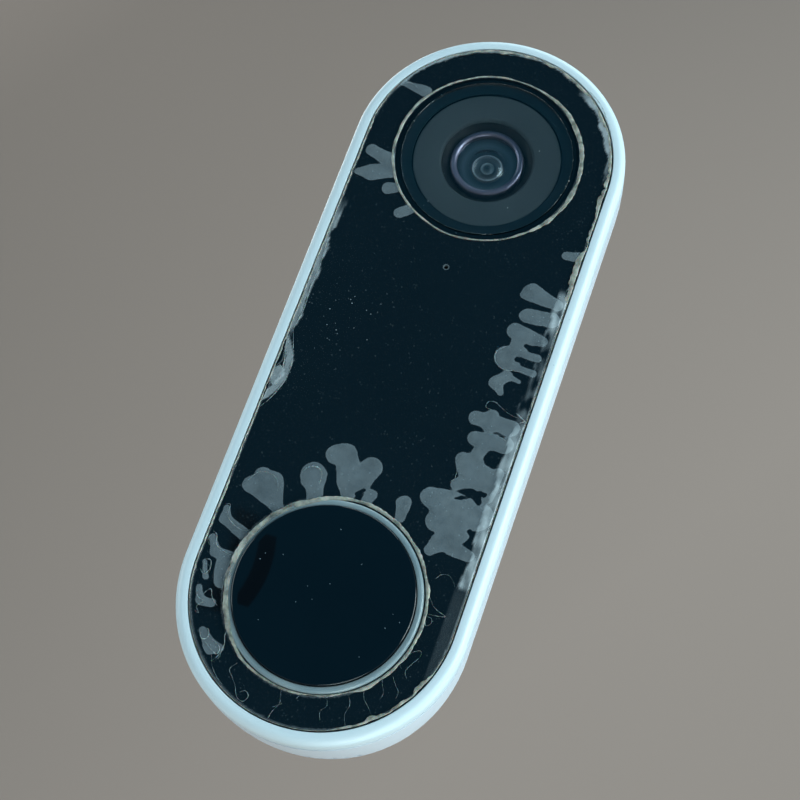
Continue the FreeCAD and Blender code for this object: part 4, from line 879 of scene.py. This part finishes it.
# %% The threads
thread_paths = [
    (0.05, -18.3, -28.6, -17.7, -28.5, -17.5, -30.0, -16.5, -31.0, -14.8, -31.6, -13.6, -31.3),
    (0.06, -18.6, -33.0, -17.9, -33.4, -17.4, -34.8, -16.0, -35.4, -14.8, -35.6),
    (0.07, -18.4, -37.4, -17.4, -37.2, -17.0, -38.4, -17.6, -39.4, -18.4, -38.8),
    (0.06, -17.8, -41.6, -17.2, -42.8, -16.2, -43.2, -16.8, -44.2, -16.2, -45.0, -17.0, -44.8),
    (0.05, -16.6, -42.2, -15.8, -41.2, -15.2, -42.2, -14.6, -42.8, -14.0, -43.2),
    (0.06, -15.0, -47.0, -14.0, -46.8, -13.6, -47.8, -14.2, -48.4, -14.8, -47.9, -14.6, -47.2),
    (0.07, -13.8, -48.6, -12.7, -49.3, -11.6, -49.8, -11.4, -48.9, -12.2, -48.3, -13.0, -48.0),
    (0.06, -11.2, -45.2, -11.4, -46.8, -11.0, -48.2, -11.3, -50.0, -12.0, -51.0),
    (0.04, -16.8, -24.6, -15.6, -22.6, -13.8, -22.2, -12.4, -23.0, -11.8, -24.6),
    (0.05, 12.8, 7.4, 11.7, 6.2, 11.9, 4.8, 13.2, 3.8, 14.8, 3.9, 16.6, 4.2),
    (0.038, -1.2, -51.0, -0.9, -52.2, -0.6, -53.6, -1.2, -55.0, -1.4, -56.2),
    (0.042, -0.2, -53.4, -0.9, -54.0, -1.4, -54.4),
    (0.021, 1.0, -50.8, 1.6, -51.6, 1.4, -52.2),
    (0.034, -8.2, -50.0, -9.0, -51.2, -8.2, -52.2, -7.4, -53.2, -6.6, -54.6, -5.6, -54.9, -5.1, -54.0,
     -5.8, -53.4, -6.5, -53.9),
    (0.029, -11.2, -48.9, -11.0, -50.0, -11.6, -51.0),
    (0.021, -12.4, -49.6, -11.6, -51.4, -10.6, -52.6, -9.2, -53.6),
    (0.029, 14.3, -29.9, 14.9, -29.0, 16.0, -28.8, 16.9, -29.5, 17.3, -30.1),
    (0.029, 14.4, -32.6, 15.2, -33.6, 16.2, -34.2, 17.4, -34.6, 16.3, -34.9, 15.0, -35.0),
    (0.025, 14.8, -35.4, 15.6, -35.5, 15.8, -36.2, 15.2, -36.7, 14.9, -36.0),
    (0.025, 14.0, -43.6, 13.4, -42.8, 14.0, -41.8, 14.8, -40.8, 15.7, -40.4, 15.9, -41.2, 15.2, -42.4,
     14.6, -43.8, 15.2, -44.8),
    (0.034, 11.8, -45.6, 12.2, -46.6, 12.7, -47.6, 12.5, -48.8),
    (0.021, 13.2, -45.0, 13.9, -46.0, 14.6, -46.8, 14.6, -47.8),
    (0.021, 10.0, -48.0, 10.4, -49.2, 11.4, -50.2, 12.2, -51.2),
    (0.025, 8.0, -49.2, 8.8, -50.6, 8.6, -52.2, 9.2, -53.6),
    (0.017, 5.4, -50.6, 5.8, -51.8, 5.2, -52.8, 5.6, -54.0),
    (0.029, -18.2, -37.4, -17.9, -38.6, -17.2, -39.4, -16.9, -38.6, -17.4, -37.9),
    (0.025, -18.6, -33.4, -18.9, -34.4, -18.3, -35.2),
    (0.13, -9.3, -20.4, -8.9, -19.6, -7.9, -19.2, -6.9, -19.5, -6.5, -20.4, -6.4, -21.6),
    (0.034, 14.0, -2.9, 13.0, -2.8, 13.0, -1.9, 14.0, -1.6, 15.2, -2.2, 16.6, -2.8, 18.0, -3.0),
    (0.084, 17.4, -2.3, 18.3, -2.8, 19.0, -3.2, 18.4, -3.7),
    (0.021, 11.7, 7.0, 11.6, 5.6, 12.3, 4.3, 13.6, 3.7, 15.0, 4.0),
    (0.025, 12.0, -13.0, 12.1, -14.6, 11.6, -15.4),
    (0.021, 14.6, -6.6, 16.0, -6.6, 17.4, -7.0, 17.6, -8.2),
    (0.07, -19.2, 19.0, -19.0, 17.0, -18.5, 12.0, -18.6, 8.0, -18.3, 4.0, -18.7, 0.5),
    (0.07, -18.7, 0.5, -17.7, -2.2, -16.9, -5.2, -17.0, -8.0, -18.0, -11.0, -19.0, -12.8),
    (0.06, -18.9, -0.6, -18.7, -2.6, -18.2, -4.6, -18.0, -5.8, -17.7, -7.4, -18.2, -9.0, -18.9, -8.4,
     -19.3, -7.2, -18.8, -6.0, -18.1, -5.7),
    (0.092, -18.6, -5.6, -18.0, -6.2, -17.9, -7.6, -18.2, -9.0),
    (0.034, -8.6, 54.2, -5.0, 55.3, 0.0, 55.8, 4.0, 55.9, 8.0, 54.8, 10.6, 53.2),
    (0.042, 11.6, 53.0, 14.2, 51.0, 16.2, 48.2, 17.6, 45.4, 18.4, 42.0),
    (0.025, -16.9, 45.7, -15.6, 46.2, -14.2, 45.6),
    (0.076, 19.0, 23.8, 18.7, 22.0, 18.9, 20.0, 18.6, 18.6),
]
threads = [thread(path) for path in thread_paths]
starts = np.cumsum([0] + [len(points) for points, _ in threads[:-1]])
dress(make_piece("glue_threads", np.concatenate([points for points, _ in threads]),
                 np.concatenate([faces + start for (_, faces), start in zip(threads, starts)]),
                 "bond_line", sharp=180), thread_finish)

# %% [markdown]
# ## The camera
# From the front inwards: a flat clear window, a grey mask with a round hole, a polished ring, a domed lens, and
# the stepped stack behind it. All are turned shapes, so each is one profile. The lens is hollowed behind as a
# wide-angle lens is, and the steps that show through it carry its rings, whose pale lips are painted highlights
# in the stack's finish. The window stops just short of the gasket behind it, because two surfaces in one place
# would flicker between each other.

# %% Window, mask, ring, lens and stack
window, mask, ring = reach("camera_window"), reach("camera_mask"), reach("lens_bezel")
lens, barrel = reach("front_lens"), reach("lens_barrel")
MASK_HOLE, OFF_THE_GASKET = 7.1, 0.04
window_back = window["back"] + OFF_THE_GASKET
dress(lathe("window_cover", [
    (0, window["front"], 0), (window["half"], window["front"], 0.15),
    (window["half"], window_back, 0.1), (0, window_back, 0),
], "camera_glass", arc_centre, closed=False, stands_for=["camera_window"]))
dress(lathe("camera_mask_disc", [
    (MASK_HOLE, mask["back"], 0), (MASK_HOLE, mask["front"] - 0.35, 0.12),
    (MASK_HOLE + 0.30, mask["front"], 0.15),
    (mask["half"], mask["front"], 0.15), (mask["half"], mask["back"], 0),
], "mask_grey", arc_centre, stands_for=["camera_mask"]))
dress(lathe("lens_ring", [
    (lens["half"] - 0.1, ring["back"], 0), (lens["half"] - 0.1, ring["front"] - 0.30, 0.12),
    (lens["half"] + 0.25, ring["front"], 0.18), (ring["half"] - 0.25, ring["front"] - 0.05, 0.25),
    (ring["half"], ring["front"] - 0.5, 0.2), (ring["half"], ring["back"], 0),
], "lens_metal", arc_centre, stands_for=["lens_bezel"]))
dress(lathe("lens_collar", [
    (ring["half"] + 0.05, ring["back"] + 0.1, 0), (MASK_HOLE + 0.35, mask["back"] - 0.02, 0.1),
    (MASK_HOLE + 0.35, mask["back"] - 0.4, 0), (ring["half"] + 0.05, ring["back"] - 0.3, 0),
], "black_matte", arc_centre))

dome = np.linspace(0, 1, 14)
shoulder = lens["front"] - 0.75
front_face = [(lens["half"] * r, shoulder + 0.75 * (1 - r * r), 0) for r in dome]
hollow = [(2.9 * r, shoulder - 1.0 + 0.9 * (1 - r * r), 0) for r in dome[::-1]]
dress(lathe("outer_lens", front_face + [(lens["half"], shoulder - 1.0, 0.05)] + hollow,
            "lens_glass", arc_centre, closed=False, stands_for=["front_lens"]))
floor = shoulder - 1.2
dress(lathe("lens_stack", [
    (0, floor - 0.45, 0), (0.55, floor - 0.55, 0.2), (1.0, floor - 0.85, 0.05), (1.08, floor - 0.50, 0.05),
    (1.32, floor - 0.50, 0.05), (1.42, floor - 0.80, 0.08), (2.05, floor - 0.45, 0.1),
    (2.12, floor - 0.05, 0.05), (2.42, floor - 0.05, 0.06), (2.55, floor - 0.35, 0.1),
    (4.3, floor - 0.08, 0.2), (lens["half"] + 0.05, floor, 0), (lens["half"] + 0.05, barrel["front"], 0.1),
    (barrel["half"], barrel["front"], 0.15), (barrel["half"], barrel["back"], 0.1),
    (lens["half"], barrel["back"], 0.1), (lens["half"], floor - 1.3, 0), (0, floor - 1.3, 0),
], "lens_metal", arc_centre, closed=False, stands_for=["lens_barrel"]), glinting_stack_material)

# %% [markdown]
# ## The button
# The cap is polished black with a small round on its edge, and its face is very slightly
# crowned, which bends what it reflects. The ring round it is a light pipe: its crown slopes
# outwards, so from one side it shows wide and bright and from the other thin.

# %% Button cap and light ring
cap_front, cap_back = button_box["front"], button_box["back"]
glow = reach("light_ring")
ring_outer = button_radius + 1.05
lathe_z = -arc_centre
crown = [(button_radius * r, cap_front - 0.10 * r * r, 0) for r in np.linspace(0, 0.93, 12)]
dress(lathe("push_button", crown + [(button_radius, cap_front - 0.10, 0.2), (button_radius, cap_back, 0.1),
                                    (0, cap_back, 0)],
            "button_gloss", lathe_z, closed=False, body="button", stands_for=["button_cap"], steps=220))
dress(lathe("glow_ring", [
    (button_radius + 0.15, glow["front"] - 2.6, 0), (button_radius + 0.15, glow["front"], 0.10),
    (button_radius + 0.32, glow["front"], 0.12), (ring_outer, glow["front"] - 0.62, 0.15),
    (ring_outer, glow["front"] - 2.6, 0),
], "light_guide", lathe_z, steps=220))

# %% [markdown]
# ## Springs
# A spring that keeps its length would run through the part that presses it. Here each coil is only a copy of
# the solid's own shape on a mesh of its own, and the share of its length that it would keep at the joint's
# limit is printed. The travels are the joints' own, with 0.02 mm to spare.

# %% Springs
def shortening(name, node, travel, length):
    """A copy of a spring's solid that rides on the doorbell, and a print of the share (length - travel) /
    length that it would keep at the joint's limit.
    """
    solid = frame["nodes"][node]
    mesh = solid.data.copy()
    mesh.transform(solid.matrix_world)
    piece = bpy.data.objects.new(name, mesh)
    bpy.context.scene.collection.objects.link(piece)
    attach(piece, "doorbell")
    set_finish(piece, "spring_steel")
    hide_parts(node)
    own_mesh(piece)
    print(name, "keeps", round((length - travel) / length, 2), "of its length")


BUTTON_TRAVEL, LATCH_TRAVEL = 0.42, 1.22
coil, latch_coil = reach("button_spring"), reach("latch_spring")
shortening("button_coil", "button_spring",
           BUTTON_TRAVEL, coil["front"] - coil["back"])
shortening("latch_coil", "latch_spring",
           LATCH_TRAVEL,
           latch_coil["high"] - latch_coil["low"])

# %% [markdown]
# ## Small dark rings
# The microphone's hole has a thin grey rim, and the gap between button and light ring has a black
# floor, so that neither shows the inside of the case.

# %% Microphone rim and the gap's shadow ring
glass = reach("front_glass")
dress(lathe("microphone_rim", [
    (0.33, glass["front"] - 0.5, 0), (0.33, glass["front"] - 0.02, 0.05),
    (0.50, glass["front"] + 0.02, 0.05), (0.50, glass["front"] - 0.5, 0),
], "mask_grey", microphone_z, steps=32))
# A painted shadow: a black ring set deep in the gap round the button, standing in for its shade.
dress(lathe("button_gap_shadow_ring", [
    (button_radius + 0.02, front_plane - 1.0, 0), (button_radius + 0.16, front_plane - 0.6, 0),
    (button_radius + 0.30, front_plane - 1.4, 0), (button_radius + 0.02, front_plane - 1.4, 0),
], "black_matte", lathe_z))

# %% [markdown]
# ## Studio
# A pale floor that curves up into a backdrop. The front mirrors whatever stands before it, so
# there is little there: a small bent black card, which the button mirrors as a soft dark shape.

# %% Floor, backdrop and card
def stage_sheet(name, x, y, z, material):
    """A smooth sheet that isn't part of the doorbell, from grids of x, y and z in metres."""
    points = np.stack(np.broadcast_arrays(x, y, z), -1)
    mesh = bpy.data.meshes.new(name)
    mesh.from_pydata(points.reshape(-1, 3).tolist(), [],
                     grid_faces(*points.shape[:2], False, False).tolist())
    mesh.polygons.foreach_set("use_smooth", np.ones(len(mesh.polygons), bool))
    mesh.materials.append(material)
    made = bpy.data.objects.new(name, mesh)
    bpy.context.scene.collection.objects.link(made)
    return made


def backdrop():
    """A floor carried up into a wall by a quarter circle, from a profile (y, z) in metres. The
    paper is a little darker towards the upper left, where less light reaches it."""
    bend = np.linspace(0, np.pi / 2, 24)
    y = np.concatenate([[-3.0], 0.25 + 0.45 * np.sin(bend), [0.70]])
    z = np.concatenate([[-0.55], -0.10 - 0.45 * np.cos(bend), [3.0]])
    material, tree, shader = new_material("studio_paper")
    cloud = noise(tree, 0.9, 2.0)
    place = put(tree, "SeparateXYZ", {"Vector": put(tree, "TexCoord").outputs["Object"]}).outputs
    slant = maths(tree, "SUBTRACT", place["X"], times(tree, place["Z"], 0.6))
    dim = blend_colour(tree, cloud, colour(0.126, 0.108, 0.095), colour(0.150, 0.129, 0.113))
    fair = blend_colour(tree, cloud, colour(0.222, 0.186, 0.165), colour(0.262, 0.222, 0.197))
    tone = blend_colour(tree, mapped(tree, slant, -0.66, -0.10), dim, fair)
    tree.links.new(tone, shader.inputs["Base Color"])
    tree.links.new(tone, shader.inputs["Emission Color"])
    shader.inputs["Emission Strength"].default_value = 0.45
    shader.inputs["Roughness"].default_value = 0.9
    stage_sheet("studio_floor", np.linspace(-3.2, 3.2, 9)[:, None], y, z, material).visible_glossy = False


def card(name, middle, width, height, bow):
    """A small black card, seen only as a reflection: its middle line bows sideways by bow times
    the square of the place along it."""
    rows, columns = np.linspace(-0.5, 0.5, 9)[:, None], np.linspace(-0.5, 0.5, 5)[None, :]
    material, _, shader = new_material(name)
    shader.inputs["Base Color"].default_value = colour(0.0, 0.0, 0.0)
    shader.inputs["Roughness"].default_value = 0.9
    made = stage_sheet(name, middle[0] + width * columns + bow * (rows ** 2 - 0.1), middle[1],
                       middle[2] + height * rows, material)
    made.visible_camera = made.visible_diffuse = made.visible_shadow = False


backdrop()
card("dark_card", (-0.140, -0.515, 0.076), width=0.011, height=0.046, bow=-0.016)
print("floor, backdrop and card")

# %% [markdown]
# ### Lights and air
# A cool key on the right and a weaker fill on the left draw the rim's edges. A low lamp lifts the
# lower end, a faint one the right side, one hangs above, and a warmer one stands behind. The air
# is dim and cool in front, grey behind, and neutral grey where the camera sees it directly.

# %% Lights and world
def soft_light(name, place, size, power, tone):
    """A square area light that faces the doorbell."""
    data = bpy.data.lights.new(name, "AREA")
    data.shape, data.size, data.energy, data.color = "SQUARE", size, power, tone
    lamp = bpy.data.objects.new(name, data)
    lamp.location = place
    lamp.rotation_mode = "QUATERNION"
    lamp.rotation_quaternion = (-Vector(place)).to_track_quat("-Z", "Y")
    bpy.context.scene.collection.objects.link(lamp)


COOL = (0.82, 0.98, 1.0)
soft_light("key_right", (0.80, -0.42, 0.22), 0.60, 8.4, COOL)
soft_light("fill_left", (-0.85, -0.25, 0.10), 0.60, 4.2, COOL)
soft_light("low_front", (0.26, -0.16, -0.47), 0.30, 1.3, COOL)
soft_light("right_side", (0.85, 0.02, -0.15), 0.40, 0.25, COOL)
soft_light("top", (0.0, -0.10, 0.95), 0.60, 4.0, COOL)
soft_light("rear_left", (-0.6, 0.50, 0.55), 0.5, 2.0, (1.0, 0.98, 0.95))
world = bpy.data.worlds.new("studio_air")
bpy.context.scene.world = world
world.use_nodes = True
sky = world.node_tree
facing = put(sky, "SeparateXYZ", {"Vector": put(sky, "TexCoord").outputs["Generated"]})
toward_back = mapped(sky, facing.outputs["Y"], -0.5, 0.3)
air = blend_colour(sky, toward_back, colour(0.012, 0.092, 0.160), colour(0.27, 0.26, 0.25))
seen = put(sky, "LightPath").outputs["Is Camera Ray"]
air = blend_colour(sky, seen, air, colour(0.235, 0.225, 0.212))
sky.links.new(air, sky.nodes["Background"].inputs["Color"])
bpy.context.scene.view_settings.view_transform = "Standard"

# %% [markdown]
# ## The camera's place
# The camera looks from the lower right, close by, with a moderately long lens and a tilt to one
# side, so the doorbell leans across the frame.

# %% Camera
camera_data = bpy.data.cameras.new("camera")
camera_data.lens, camera_data.sensor_width = 80.9, 36.0
camera_data.clip_start, camera_data.clip_end = 0.01, 20.0
camera = bpy.data.objects.new("camera", camera_data)
rightward, upward = (0.942, 0.069, 0.328), (-0.2817, -0.3691, 0.8857)
backward = (0.1823, -0.9268, -0.3283)
turned = Matrix((rightward, upward, backward)).transposed().to_4x4()
camera.matrix_world = Matrix.Translation(Vector((48.9, -front_plane - 246.3, -92.8)) * MM) @ turned
bpy.context.scene.collection.objects.link(camera)
bpy.context.scene.camera = camera
print("camera at", [round(value, 3) for value in camera.matrix_world.translation])
